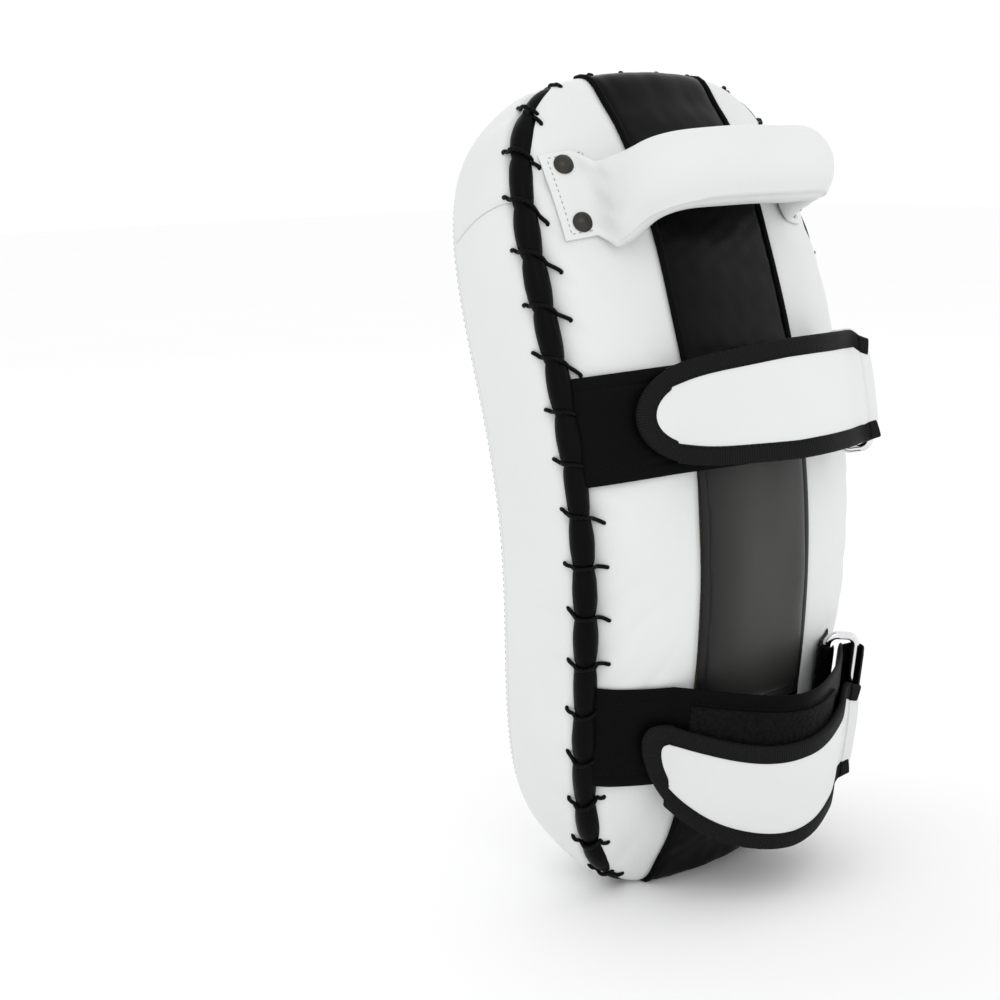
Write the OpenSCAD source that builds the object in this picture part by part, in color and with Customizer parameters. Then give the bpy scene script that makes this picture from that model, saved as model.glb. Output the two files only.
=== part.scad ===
/* [Pad body] */
// Length of the laced back edge, end to end
pad_length = 383; // [360:1:400]
// Width of the laced back edge at mid length
pad_width = 186; // [176:1:196]
// Depth of the side wall, from the laced edge to the front seam
side_depth = 54; // [50:1:58]
// How far the striking face swells past the front seam
front_crown = 13; // [10:0.5:16]
// How far the strap side swells past the laced edge
back_crown = 23; // [20:0.5:25]
// How far the laced edge is drawn down below the level of the pad's own plane
edge_drop = 5; // [3:0.5:6]
// How far the ends curve forward of the middle
bow_depth = 36; // [30:1:40]
// Share of the bow that is drawn away from the ends
bow_ease = 0.47; // [0.3:0.01:0.6]
// Widening from the middle to the handle end
taper = 0.08; // [0:0.01:0.1]
// Lean, in degrees, at which the curved pad stands on its end
lean = 4; // [2:0.5:6]
// Depth of the soft end that its own weight flattens
settle = 5; // [4:0.5:6]
// Thickness of the leather
skin = 2; // [1.6:0.1:2.2]

/* [Centre and forearm pad] */
// Half width of the black centre stripe
stripe_half = 36; // [32:1:38]
// Radius of the piping beside the stripe
piping_r = 1.6; // [1.2:0.1:1.7]
// Upper end of the forearm pad, from mid length
forearm_top = 28; // [20:1:32]
// Lower end of the forearm pad, from mid length
forearm_bottom = -101; // [-110:1:-95]
// Loft of the forearm pad above the panels beside it
forearm_loft = 4.5; // [3:0.5:5]

/* [Edge roll and lacing] */
// Radius of the rolled leather edge
roll_r = 6; // [5.5:0.1:6]
// Radius of the waxed lacing cord
lace_r = 0.9; // [0.7:0.1:1]
// Number of lacing stitches round the edge
lace_count = 44; // [36:1:48]

/* [Handle] */
// Place of the handle along the pad, from mid length
handle_v = 135; // [130:1:140]
// Radius of the stuffed grip
grip_r = 16.5; // [15:0.5:18]
// Height of the grip's centre line above the laced edge
grip_h = 60; // [57:1:64]
// How far the grip hangs below its tabs, along the pad
grip_sag = 5; // [0:0.5:6]
// Half span of the grip's centre line
grip_span = 54; // [50:1:56]
// Radius of the rope inside the grip
rope_r = 4.5; // [3:0.5:4.5]
// Radius of a rivet head
rivet_r = 4.6; // [4:0.1:5]

/* [Straps and rings] */
// Width of a forearm strap
strap_width = 48; // [40:1:50]
// Place of the upper strap along the pad
upper_v = 34; // [30:1:38]
// Place of the lower strap along the pad
lower_v = -105; // [-108:1:-102]
// Radius of the ring's wire
wire_r = 2; // [1.5:0.1:2]
// Distance between the ring's two long bars
ring_w = 14.6; // [13:0.1:16]
// Length of the ring between the centres of its short bars
ring_l = 56; // [54:1:60]

/* [Hidden] */

white = [0.91, 0.92, 0.92];
black = [0.06, 0.06, 0.06];
soft_grey = [0.28, 0.28, 0.28];
foam = [0.85, 0.8, 0.62];

half_l = pad_length / 2;
half_w = pad_width / 2;
gap = 0.3;              // clearance between pieces that lie on each other
wall_swell = 3;         // bulge of the side wall between its two edges
seam_draw = 6.7;        // how much shorter the front seam is at each end
roll_inset = 3.5;       // roll's centre, in from the edge
roll_rise = 2 - edge_drop; // height of the roll's centre
panel_inset = 9.9;      // where the back panels start beside the roll
wall_levels = [0.22, 0.4, 0.58, 0.77, 0.955];
corner_power = 4.2;     // squareness of the laced edge's outline
corner_ease = 0.4;      // how much rounder the front seam's outline is
back_power = 2.33;      // how the strap side's crown falls away to the sides
back_end_power = 10;    // and to the ends
face_power = 4;         // how the striking face falls away to its seam
face_ease = 0.6;        // roundness of the striking face beside its seam

// ---- the pad's own coordinates: u across, h towards the strap side, v along ----

function bow(t) = bow_depth * t * t * (1 - bow_ease * (t * t - 1));
function bow_slope(t) = bow_depth * (2 * t * (1 - bow_ease * (t * t - 1)) - 2 * bow_ease * t * t * t) / half_l;
function bent(u, h, v) =
    let (s = bow_slope(v / half_l), n = sqrt(1 + s * s))
    [u, bow(v / half_l) - h / n, v + h * s / n];
function leaned(p) = [p[0], p[1] * cos(lean) + p[2] * sin(lean), p[2] * cos(lean) - p[1] * sin(lean)];

function swell(k) = wall_swell * 4 * k * (1 - k);
function edge_power(k) = corner_power - corner_ease * k;
// Outline at depth share k (0 laced edge, 1 front seam), seen at angle a
function edge(a, k, grow) =
    let (e = edge_power(k), c = cos(a), s = sin(a),
         r = pow(pow(abs(c), e) + pow(abs(s), e), -1 / e),
         v = (half_l - seam_draw * k + grow) * r * s,
         u = (half_w - k + grow) * r * c * (1 + taper * v / half_l))
    [u, v];

lowest = min([
    for (a = [240:3:300]) let (p = edge(a, 0, roll_r - roll_inset)) leaned(bent(p[0], roll_rise, p[1]))[2]
]);
lift = -lowest - settle;
rear = leaned(bent(0, -8, -half_l))[1];
function at(u, h, v, floor = 0) =
    let (p = leaned(bent(u, h, v))) [p[0], p[1] - rear, max(p[2] + lift, floor)];

// Half width of the strap side at v, and the height of its crown at (u, v)
function half_at(v) =
    half_w * (1 + taper * v / half_l)
    * pow(max(1 - pow(min(abs(v / half_l), 1), corner_power), 0.0001), 1 / corner_power);
function crown(u, v) =
    (back_crown + edge_drop) * (1 - pow(min(abs(u) / half_at(v), 1), back_power))
    * (1 - pow(min(abs(v / half_l), 1), back_end_power)) - edge_drop;
// Height of the striking face
function face(u, v) =
    let (e = edge_power(1), w = u / (1 + taper * v / half_l) / (half_w - 1),
         r = pow(abs(w), e) + pow(abs(v / (half_l - seam_draw)), e))
    -side_depth - front_crown * pow(max(0, 1 - pow(r, face_power / e)), face_ease);

// Angles spaced evenly along the edge, from the length of short chords
walk_step = 2;
walk = [for (a = [0:walk_step:360]) edge(a, 0, 0)];
walk_sum = [
    for (i = 0, d = 0; i < len(walk); i = i + 1, d = i < len(walk) ? d + norm(walk[i] - walk[i - 1]) : d) d
];
walk_table = [for (i = [0:len(walk) - 1]) [walk_sum[i], i * walk_step]];
edge_length = walk_sum[len(walk) - 1];
function angle_at(share) = let (f = floor(share)) lookup((share - f) * edge_length, walk_table) + 360 * f;
walk_back = [for (w = walk_table) [w[1], w[0] / edge_length]];
function share_at(a) = let (f = floor(a / 360)) lookup(a - 360 * f, walk_back) + f;
function spaced(a0, a1, n) =
    let (s0 = share_at(a0), s1 = share_at(a1)) [for (i = [0:n]) angle_at(s0 + (s1 - s0) * i / n)];

// ---- closed solids from grids of points ----

function flat_list(grid) = [for (row = grid) for (p = row) p];
// Two matching grids become one closed slab: first the side that faces out
module slab(outer, inner) {
    rows = len(outer);
    cols = len(outer[0]);
    n = rows * cols;
    function id(side, i, j) = side * n + i * cols + j;
    faces = [
        for (i = [0:rows - 2]) for (j = [0:cols - 2]) each [
            [id(0, i, j), id(0, i + 1, j), id(0, i + 1, j + 1)],
            [id(0, i, j), id(0, i + 1, j + 1), id(0, i, j + 1)],
            [id(1, i, j), id(1, i + 1, j + 1), id(1, i + 1, j)],
            [id(1, i, j), id(1, i, j + 1), id(1, i + 1, j + 1)]
        ],
        for (i = [0:rows - 2]) each [
            [id(0, i, 0), id(1, i, 0), id(1, i + 1, 0)],
            [id(0, i, 0), id(1, i + 1, 0), id(0, i + 1, 0)],
            [id(0, i, cols - 1), id(1, i + 1, cols - 1), id(1, i, cols - 1)],
            [id(0, i, cols - 1), id(0, i + 1, cols - 1), id(1, i + 1, cols - 1)]
        ],
        for (j = [0:cols - 2]) each [
            [id(0, 0, j), id(1, 0, j + 1), id(1, 0, j)],
            [id(0, 0, j), id(0, 0, j + 1), id(1, 0, j + 1)],
            [id(0, rows - 1, j), id(1, rows - 1, j), id(1, rows - 1, j + 1)],
            [id(0, rows - 1, j), id(1, rows - 1, j + 1), id(0, rows - 1, j + 1)]
        ]
    ];
    polyhedron(concat(flat_list(outer), flat_list(inner)), faces);
}
// Rings of points become a solid rod with flat ends
module rod(rings) {
    m = len(rings[0]);
    last = len(rings) - 1;
    faces = [
        for (i = [0:last - 1]) for (j = [0:m - 1]) let (k = (j + 1) % m) each [
            [i * m + j, (i + 1) * m + j, (i + 1) * m + k],
            [i * m + j, (i + 1) * m + k, i * m + k]
        ],
        [for (j = [0:m - 1]) j],
        [for (j = [m - 1:-1:0]) last * m + j]
    ];
    polyhedron(flat_list(rings), faces);
}
// Matching outer and inner rings become a sleeve, or a closed hoop where closed is set
module sleeve(outer, inner) {
    m = len(outer[0]);
    rows = len(outer);
    n = rows * m;
    faces = [
        for (i = [0:rows - 2]) for (j = [0:m - 1]) let (k = (j + 1) % m) each [
            [i * m + j, (i + 1) * m + j, (i + 1) * m + k],
            [i * m + j, (i + 1) * m + k, i * m + k],
            [n + i * m + j, n + (i + 1) * m + k, n + (i + 1) * m + j],
            [n + i * m + j, n + i * m + k, n + (i + 1) * m + k]
        ],
        for (j = [0:m - 1]) let (k = (j + 1) % m) each [
            [j, k, n + k],
            [j, n + k, n + j],
            [(rows - 1) * m + j, n + (rows - 1) * m + k, (rows - 1) * m + k],
            [(rows - 1) * m + j, n + (rows - 1) * m + j, n + (rows - 1) * m + k]
        ]
    ];
    polyhedron(concat(flat_list(outer), flat_list(inner)), faces);
}
// Rings that run back to the first one become a hoop
module hoop(rings) {
    m = len(rings[0]);
    rows = len(rings);
    faces = [
        for (i = [0:rows - 1]) for (j = [0:m - 1]) let (k = (j + 1) % m, q = (i + 1) % rows) each [
            [i * m + j, q * m + j, q * m + k],
            [i * m + j, q * m + k, i * m + k]
        ]
    ];
    polyhedron(flat_list(rings), faces);
}

// ---- covers ----

across = [-1, -0.9, -0.75, -0.5, -0.25, 0, 0.25, 0.5, 0.75, 0.9, 1];
row_angles = spaced(0, 86, 10);
all_rows = concat([for (i = [10:-1:1]) -row_angles[i]], row_angles);

module front_panel() {
    color(white) slab(
        [for (a = all_rows) let (e = edge(a, 1, -0.1))
            [for (c = across) at(c * e[0], face(c * e[0], e[1]), e[1])]],
        [for (a = all_rows) let (e = edge(a, 1, -0.1))
            [for (c = across) at(c * e[0], face(c * e[0], e[1]) + skin, e[1], skin)]]);
}
module wall(a0, a1, n) {
    rows = spaced(a0, a1, n);
    slab(
        [for (a = rows) [for (k = wall_levels) let (e = edge(a, k, swell(k))) at(e[0], -side_depth * k, e[1])]],
        [for (a = rows) [for (k = wall_levels) let (e = edge(a, k, swell(k) - skin))
            at(e[0], -side_depth * k, e[1], skin)]]);
}
gusset_seam = 38;       // angle of the seam between the two wall pieces
module side_gusset() {
    color(white) wall(180 - gusset_seam + 0.1, 360 + gusset_seam - 0.1, 44);
}
module top_gusset() {
    color(white) wall(gusset_seam + 0.1, 180 - gusset_seam - 0.1, 18);
}
side_angles = spaced(0, 63, 9);
side_rows = concat([for (i = [9:-1:1]) -side_angles[i]], side_angles);
side_steps = [0, 0.12, 0.3, 0.5, 0.75, 1];
panel_start = stripe_half + piping_r + 0.2;
module back_side(side) {
    rows = side > 0 ? side_rows : [for (i = [len(side_rows) - 1:-1:0]) side_rows[i]];
    function place(a, c) =
        let (e = edge(a, 0, -panel_inset)) [side * (e[0] + c * (panel_start - e[0])), e[1]];
    slab(
        [for (a = rows) [for (c = side_steps) let (p = place(a, c)) at(p[0], crown(p[0], p[1]), p[1])]],
        [for (a = rows) [for (c = side_steps) let (p = place(a, c)) at(p[0], crown(p[0], p[1]) - skin, p[1])]]);
}
module back_panel_left() {
    color(white) back_side(-1);
}
module back_panel_right() {
    color(white) back_side(1);
}
// Edge of the stripe where it meets the roll, at the end on side s
function stripe_end(u, s) =
    s * (half_l - panel_inset)
    * pow(1 - pow(abs(u) / (half_w - panel_inset), corner_power), 1 / corner_power);
stripe_in = stripe_half - piping_r - 0.2;
module stripe(from, s) {
    cols = [for (c = [-1:0.25:1]) c * stripe_in * s];
    steps = [0:0.1:1];
    function v_at(u, r) = from + r * (stripe_end(u, s) - from);
    slab(
        [for (u = cols) [for (r = steps) let (v = v_at(u, r)) at(u, crown(u, v), v)]],
        [for (u = cols) [for (r = steps) let (v = v_at(u, r)) at(u, crown(u, v) - skin, v)]]);
}
module centre_panel_top() {
    color(black) stripe(forearm_top + 1, 1);
}
module centre_panel_bottom() {
    color(black) stripe(forearm_bottom - 1, -1);
}
module centre_piping() {
    color(black)
        for (s = [-1, 1]) for (side = [-1, 1]) {
            from = s > 0 ? forearm_top + 1 : forearm_bottom - 1;
            rod([for (r = s > 0 ? [0:0.1:1] : [1:-0.1:0])
                let (v = from + r * (stripe_end(stripe_half, s) - from), u = side * stripe_half)
                [for (q = [0:60:300]) at(u + piping_r * sin(q), crown(u, v) - 0.2 + piping_r * cos(q), v)]]);
        }
}
pad_skin = 1.6;         // thickness of the forearm pad's softer leather
pad_edge = 1;           // height of its sewn edge above the panels
pad_mid = (forearm_top + forearm_bottom) / 2;
pad_half = forearm_top - pad_mid;
function loft(u, v) =
    let (x = abs(u) / stripe_half, y = abs(v - pad_mid) / pad_half)
    crown(u, v) + pad_edge + forearm_loft * sqrt(max(0, 1 - pow(x, 6))) * sqrt(max(0, 1 - pow(y, 16)));
pad_share = [-1, -0.95, -0.85, -0.6, -0.3, 0, 0.3, 0.6, 0.85, 0.95, 1];
module forearm_block(inset, top_drop, thick) {
    function spot(i, j) = [(stripe_half - inset) * i, pad_mid + (pad_half - inset) * j];
    slab(
        [for (i = pad_share) [for (j = pad_share) let (p = spot(i, j))
            at(p[0], loft(p[0], p[1]) - top_drop, p[1])]],
        [for (i = pad_share) [for (j = pad_share) let (p = spot(i, j))
            at(p[0], thick > 0 ? loft(p[0], p[1]) - top_drop - thick : crown(p[0], p[1]) - skin, p[1])]]);
}
module forearm_pad_cover() {
    color(soft_grey) forearm_block(0, 0, pad_skin);
}
module forearm_pad_foam() {
    color(foam) forearm_block(2.5, pad_skin + 2 * gap, 0);
}

// ---- foam core ----

core_in = skin + gap;
foam_slack = 0.8;       // room between the foam and a curved cover
foam_draw = 5;          // how far the backing foam's upper rim stays from the roll
foam_bevel = 4;         // how far its lower rim steps in, under the roll
module foam_layer(k_out, k_in, outer_face) {
    slab(
        [for (a = all_rows) let (e = edge(a, k_out, swell(k_out) - core_in - (outer_face ? foam_slack : 0)))
            [for (c = across) at(c * e[0], outer_face ? face(c * e[0], e[1]) + core_in + foam_slack
                                                      : -side_depth * k_out + gap / 2,
                                 e[1], core_in)]],
        [for (a = all_rows) let (e = edge(a, k_in, swell(k_in) - core_in))
            [for (c = across) at(c * e[0], -side_depth * k_in - gap / 2, e[1], core_in)]]);
}
module striking_foam() {
    color(foam) foam_layer(1, 0.75, true);
}
module middle_foam() {
    color(foam) foam_layer(0.75, 0.33, false);
}
module backing_foam() {
    color(foam) slab(
        [for (a = all_rows) let (e = edge(a, 0.33, swell(0.33) - core_in - foam_bevel))
            [for (c = across) at(c * e[0], -side_depth * 0.33 + gap / 2, e[1], core_in)]],
        [for (a = all_rows) let (e = edge(a, 0, -panel_inset - foam_draw))
            [for (c = across) at(c * e[0], crown(c * e[0], e[1]) - core_in - foam_slack, e[1], core_in)]]);
}

// ---- rolled edge and lacing ----

function edge_out(a) =
    let (d = edge(a + 0.5, 0, 0) - edge(a - 0.5, 0, 0)) [d[1], -d[0]] / norm(d);
module edge_roll() {
    rings = 72;
    color(black) hoop([for (i = [0:rings - 1])
        let (a = angle_at(i / rings), e = edge(a, 0, -roll_inset), o = edge_out(a))
        [for (q = [0:36:324]) let (r = roll_r * cos(q))
            at(e[0] + o[0] * r, roll_rise + roll_r * sin(q), e[1] + o[1] * r)]]);
}
module at_frame(origin, x, y, z) {
    multmatrix([for (i = [0:2]) [x[i], y[i], z[i], origin[i]]]) children();
}
function unit(p) = p / norm(p);
function rise_dir(v) = leaned(bent(0, 1, v)) - leaned(bent(0, 0, v));
function along_dir(v) = unit(cross([1, 0, 0], rise_dir(v)) * -1);
module lace_stitch(a) {
    e = edge(a, 0, -roll_inset);
    o = edge_out(a);
    rise = rise_dir(e[1]);
    out = unit(o[0] * [1, 0, 0] + o[1] * along_dir(e[1]));
    at_frame(at(e[0], roll_rise, e[1], -100), out, rise, cross(out, rise))
        rotate([0, 0, -78]) rotate_extrude(angle = 210, $fn = 40)
            translate([roll_r + lace_r + 0.05, 0]) circle(lace_r, $fn = 16);
}
module edge_lace() {
    color(black) for (i = [0:lace_count - 1]) {
        a = angle_at((i + 0.5) / lace_count);
        if (a > 200 && a < 340)
            intersection() {
                lace_stitch(a);
                translate([-300, -300, 0]) cube([600, 600, 200]);
            }
        else
            lace_stitch(a);
    }
}

// ---- handle ----

tab_in = 57;
tab_out = 77.5;
tab_half = 19.5;
module handle_tab(side) {
    us = [for (i = [0:4]) side * (tab_in + (tab_out - tab_in) * i / 4)];
    vs = [for (j = [0:4]) side * tab_half * (j / 2 - 1)];
    slab(
        [for (u = us) [for (v = vs) at(u, crown(u, v + handle_v) + gap + skin, v + handle_v)]],
        [for (u = us) [for (v = vs) at(u, crown(u, v + handle_v) + gap, v + handle_v)]]);
}
module handle_tab_left() {
    color(white) handle_tab(-1);
}
module handle_tab_right() {
    color(white) handle_tab(1);
}
rivet_u = 69;
rivet_v = 13;
module at_rivets() {
    for (side = [-1, 1]) for (s = [-1, 1]) {
        u = side * rivet_u;
        v = handle_v + s * rivet_v;
        here = at(u, crown(u, v), v);
        across_dir = unit(at(u + 1, crown(u + 1, v), v) - here);
        along = unit(at(u, crown(u, v + 1), v + 1) - here);
        out = unit(cross(along, across_dir)) * -1;
        at_frame(here, unit(cross(along, out)), along, out) children();
    }
}
head_rise = 2;
module handle_rivets() {
    head_ball = (rivet_r * rivet_r + head_rise * head_rise) / (2 * head_rise);
    color([0.3, 0.3, 0.32]) at_rivets() {
        translate([0, 0, -skin - 2.2]) cylinder(r = rivet_r / 2, h = 2 * skin + 2.8, $fn = 32);
        translate([0, 0, skin + gap + 0.1]) intersection() {
            translate([0, 0, head_rise - head_ball]) sphere(head_ball, $fn = 48);
            cylinder(r = rivet_r, h = head_rise + 1, $fn = 48);
        }
    }
}
module handle_rivet_washers() {
    color([0.7, 0.7, 0.72]) at_rivets() translate([0, 0, -skin - 1.9]) difference() {
        cylinder(r = rivet_r, h = 1, $fn = 48);
        translate([0, 0, -1]) cylinder(r = rivet_r / 2, h = 3, $fn = 32);
    }
}
grip_steps = [for (i = [0:16]) 12 + 156 * i / 16];
grip_sides = 14;
grip_foot = 28;
flat_half = 9;          // half thickness of the grip where it meets a tab
function grip_line(q) = [-grip_span * cos(q), grip_foot + (grip_h - grip_foot) * sin(q)];
// Ring of the grip's section at q, drawn in by cut, or a round one of radius r
function grip_ring(q, cut, r, sides) =
    let (c = grip_line(q), d = grip_line(q + 1) - grip_line(q - 1), n = [-d[1], d[0]] / norm(d),
         flat = flat_half + (grip_r - flat_half) * pow(sin(q), 0.6),
         b = r > 0 ? r : flat - cut, w = r > 0 ? r : grip_r - cut)
    [for (i = [0:sides - 1]) let (f = 360 * i / sides)
        at(c[0] + n[0] * b * cos(f), c[1] + n[1] * b * cos(f), handle_v - grip_sag * sin(q) + w * sin(f))];
module handle_grip_cover() {
    color(white) sleeve(
        [for (q = grip_steps) grip_ring(q, 0, 0, grip_sides)],
        [for (q = grip_steps) grip_ring(q, skin, 0, grip_sides)]);
}
module handle_grip_foam() {
    color(foam) sleeve(
        [for (q = grip_steps) grip_ring(q, skin + gap, 0, grip_sides)],
        [for (q = grip_steps) grip_ring(q, 0, rope_r + gap, grip_sides)]);
}
module handle_rope() {
    color([0.75, 0.72, 0.65]) rod([for (q = grip_steps) grip_ring(q, 0, rope_r, 8)]);
}

// ---- straps: [place along, outer bar, inner bar, rise of the arch, tip of the flap] ----

upper = [upper_v, [71, 31.5], [64.3, 18.5], 28, -67];
lower = [lower_v, [67, 28.5], [54.9, 20.3], 34, -64];
band_t = 2.6;           // thickness of the doubled band
lift_off = -50;         // where the band leaves the panel
sit = 0.9;              // room under a flat strap for the swell of the panel
fold_in = wire_r + 1.8; // room for the ring to swing inside the fold
fold_t = 1.8;           // thickness of the doubled strap round the ring
function strap_at(st, u, h, w) = at(u, h, st[0]) + w * along_dir(st[0]);
// Middle of the band's thickness, from the laced edge to the ring
function band_end(st) = st[1] - [5.8, 4.5];
function band_h(st, u) =
    let (h0 = crown(lift_off, st[0]) + sit + band_t / 2,
         e = band_end(st),
         r = (u - lift_off) / (e[0] - lift_off))
    u < lift_off ? crown(u, st[0]) + sit + band_t / 2
                 : h0 + (e[1] - h0) * r + st[3] * sin(180 * min(r, 1)) * (1 + 0.12 * sin(360 * min(r, 1)));
function band_slope(st, u) = (band_h(st, u + 0.5) - band_h(st, u - 0.5));
// A ribbon along the strap: stations in u, heights above the band's middle, edges in w
module ribbon(st, us, low, high, w0, w1) {
    function place(u, off, w) =
        let (s = band_slope(st, u), n = sqrt(1 + s * s)) strap_at(st, u - off * s / n, band_h(st, u) + off / n, w);
    slab(
        [for (u = us) [for (w = [0:0.25:1]) place(u, high, w0 + (w1 - w0) * w)]],
        [for (u = us) [for (w = [0:0.25:1]) place(u, low, w0 + (w1 - w0) * w)]]);
}
function stations(from, to, n) = [for (i = [0:n]) from + (to - from) * i / n];
module strap_band(st) {
    start = -(half_at(st[0] - strap_width / 2) - panel_inset - 2);
    ribbon(st, concat(stations(start, lift_off - 4, 5), stations(lift_off, band_end(st)[0], 18)),
           -band_t / 2, band_t / 2, -strap_width / 2, strap_width / 2);
}
loop_margin = 8;        // the loop tape stays this far inside the strap's edges
module loop_patch(st) {
    ribbon(st, stations(-44, 28, 12), band_t / 2 + 0.25, band_t / 2 + 1.3,
           -strap_width / 2 + loop_margin, strap_width / 2 - loop_margin);
}
askew_ring = 20;        // drop of the lower flap at its ring
askew_tip = 16;         // and how much of it is gone again at the tip
// Centre of the flap across the strap: the lower flap hangs askew
function flap_mid(st, u) =
    st[0] > 0 ? 0 : askew_tip * pow(min(1, max(0, (20 - u) / (20 - st[4]))), 2) - askew_ring;
tip_run = 40;           // length of the flap's rounded tip
flare = 3;              // how much wider the lower flap is at its ring
function flap_half(st, u) =
    let (r = min(1, max(0, (st[4] + tip_run - u) / tip_run)))
    strap_width / 2 * sqrt(max(0.02, 1 - pow(r, 2.4))) + (st[0] > 0 ? 0 : flare * (1 - r));
flap_low = band_t / 2 + 3;
lining_high = flap_low + 1;
face_low = flap_low + 1.1;
face_high = flap_low + 2.4;
// The flap's line near the ring eases over from the band to the top of the fold
function flap_h(st, u, off) =
    let (s = band_slope(st, u), n = sqrt(1 + s * s), near = max(0, (u - 30) / (st[1][0] - 30)), ease = near * near)
    [(u - off * s / n) * (1 - ease) + u * ease,
     (band_h(st, min(u, band_end(st)[0])) + off / n) * (1 - ease) + (st[1][1] + fold_in + 0.3 + off - flap_low) * ease];
function flap_at(st, u, off, w) = let (p = flap_h(st, u, off)) strap_at(st, p[0], p[1], flap_mid(st, u) + w);
binding_w = 8.5;
function flap_us(st, cut) = concat(
    [for (q = [0:15:90]) st[4] + cut + (tip_run - cut) * (1 - cos(q))],
    stations(st[4] + tip_run + 8, st[1][0], 12));
module flap_sheet(st, cut, low, high) {
    us = flap_us(st, cut + 0.6);
    slab(
        [for (u = us) [for (c = [-1:0.5:1]) flap_at(st, u, high, c * max(1, flap_half(st, u - cut * 0.6) - cut))]],
        [for (u = us) [for (c = [-1:0.5:1]) flap_at(st, u, low, c * max(1, flap_half(st, u - cut * 0.6) - cut))]]);
}
module flap_binding(st) {
    us = flap_us(st, 0.3);
    n = len(us) - 1;
    path = concat([for (i = [n:-1:0]) [us[i], -1]], [for (i = [0:n]) [us[i], 1]]);
    function corner(i, grown, off) =
        let (u = path[i][0], s = path[i][1], inner = max(u, st[4] + binding_w + 0.6),
             edge_u = grown ? u : inner,
             w = grown ? flap_half(st, u) : max(0.5, flap_half(st, inner - binding_w * 0.6) - binding_w + 0.3))
        flap_at(st, edge_u, off, s * w);
    rod([for (i = [0:len(path) - 1]) [
        corner(i, true, flap_low - 0.5), corner(i, true, face_high + 0.5),
        corner(i, false, face_high + 0.5), corner(i, false, flap_low - 0.5)]]);
}
module hook_patch(st) {
    us = stations(st[4] + 16, 16, 10);
    slab(
        [for (u = us) [for (c = [-1:0.5:1]) flap_at(st, u, flap_low - 0.4, c * (flap_half(st, u) - binding_w - 2))]],
        [for (u = us) [for (c = [-1:0.5:1]) flap_at(st, u, flap_low - 1.2, c * (flap_half(st, u) - binding_w - 2))]]);
}
// Frame of the ring: x runs from the inner bar to the outer one, y along the bars
module at_bar(st, bar) {
    d = (st[1] - st[2]) / norm(st[1] - st[2]);
    rise = rise_dir(st[0]);
    x = d[0] * [1, 0, 0] + d[1] * rise;
    y = along_dir(st[0]);
    at_frame(strap_at(st, bar[0], bar[1], 0), x, y, cross(x, y)) children();
}
ring_corner = 5;
module ring(st) {
    w = ring_w;
    l = ring_l;
    c = ring_corner;
    at_bar(st, st[2]) {
        for (x = [0, w])
            translate([x, -l / 2 + c, 0]) rotate([-90, 0, 0]) cylinder(r = wire_r, h = l - 2 * c, $fn = 32);
        for (y = [-l / 2, l / 2])
            translate([c, y, 0]) rotate([0, 90, 0]) cylinder(r = wire_r, h = w - 2 * c, $fn = 32);
        for (x = [0, 1]) for (y = [0, 1])
            translate([x ? w - c : c, y ? l / 2 - c : -l / 2 + c, 0])
                rotate([0, 0, x ? (y ? 0 : -90) : (y ? 90 : 180)])
                    rotate_extrude(angle = 90, $fn = 48) translate([c, 0]) circle(wire_r, $fn = 32);
    }
}
module strap_fold(st) {
    half = strap_width / 2 - 1;
    n = 14;
    // Angles in the (u, h) plane: from the band's end under the bar, round the right, to the flap
    qs = [for (i = [0:n]) -128 + (88 + 128) * i / n];
    function spot(q, r, w) = strap_at(st, st[1][0] + r * cos(q), st[1][1] + r * sin(q), w);
    slab(
        [for (i = [n:-1:0]) [for (w = [-half, 0, half]) spot(qs[i], fold_in + fold_t, w)]],
        [for (i = [n:-1:0]) [for (w = [-half, 0, half]) spot(qs[i], fold_in, w)]]);
}
tab_t = 1.7;            // thickness of the tab that holds the ring
// The tab lies on the panel, runs in from the edge and turns back over the inner bar
module ring_tab(st) {
    half = strap_width / 2 - 1;
    bar = st[2];
    r0 = wire_r + gap;
    r1 = r0 + tab_t;
    edge_u = half_at(st[0] - half) - panel_inset - 2;
    foot = stations(edge_u, bar[0] + 3, 6);
    n = 10;
    loop = [for (i = [0:n]) -70 - 250 * i / n];
    function low(u) = crown(u, st[0]) + sit;
    outer = concat([for (u = foot) [u, low(u)]], [for (q = loop) bar + r1 * [cos(q), sin(q)]]);
    inner = concat([for (u = foot) [u, low(u) + tab_t]], [for (q = loop) bar + r0 * [cos(q), sin(q)]]);
    slab(
        [for (p = outer) [for (w = [-half, 0, half]) strap_at(st, p[0], p[1], w)]],
        [for (p = inner) [for (w = [-half, 0, half]) strap_at(st, p[0], p[1], w)]]);
}

module upper_strap_band() { color(black) strap_band(upper); }
module upper_loop_patch() { color(soft_grey) loop_patch(upper); }
module upper_ring_tab() { color(black) ring_tab(upper); }
module upper_ring() { color([0.8, 0.8, 0.82]) ring(upper); }
module upper_strap_fold() { color(black) strap_fold(upper); }
module upper_flap_face() { color(white) flap_sheet(upper, binding_w, face_low, face_high); }
module upper_flap_lining() { color(black) flap_sheet(upper, binding_w, flap_low, lining_high); }
module upper_flap_binding() { color(soft_grey) flap_binding(upper); }
module upper_hook_patch() { color(black) hook_patch(upper); }
module lower_strap_band() { color(black) strap_band(lower); }
module lower_loop_patch() { color(soft_grey) loop_patch(lower); }
module lower_ring_tab() { color(black) ring_tab(lower); }
module lower_ring() { color([0.8, 0.8, 0.82]) ring(lower); }
module lower_strap_fold() { color(black) strap_fold(lower); }
module lower_flap_face() { color(white) flap_sheet(lower, binding_w, face_low, face_high); }
module lower_flap_lining() { color(black) flap_sheet(lower, binding_w, flap_low, lining_high); }
module lower_flap_binding() { color(soft_grey) flap_binding(lower); }
module lower_hook_patch() { color(black) hook_patch(lower); }

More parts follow.
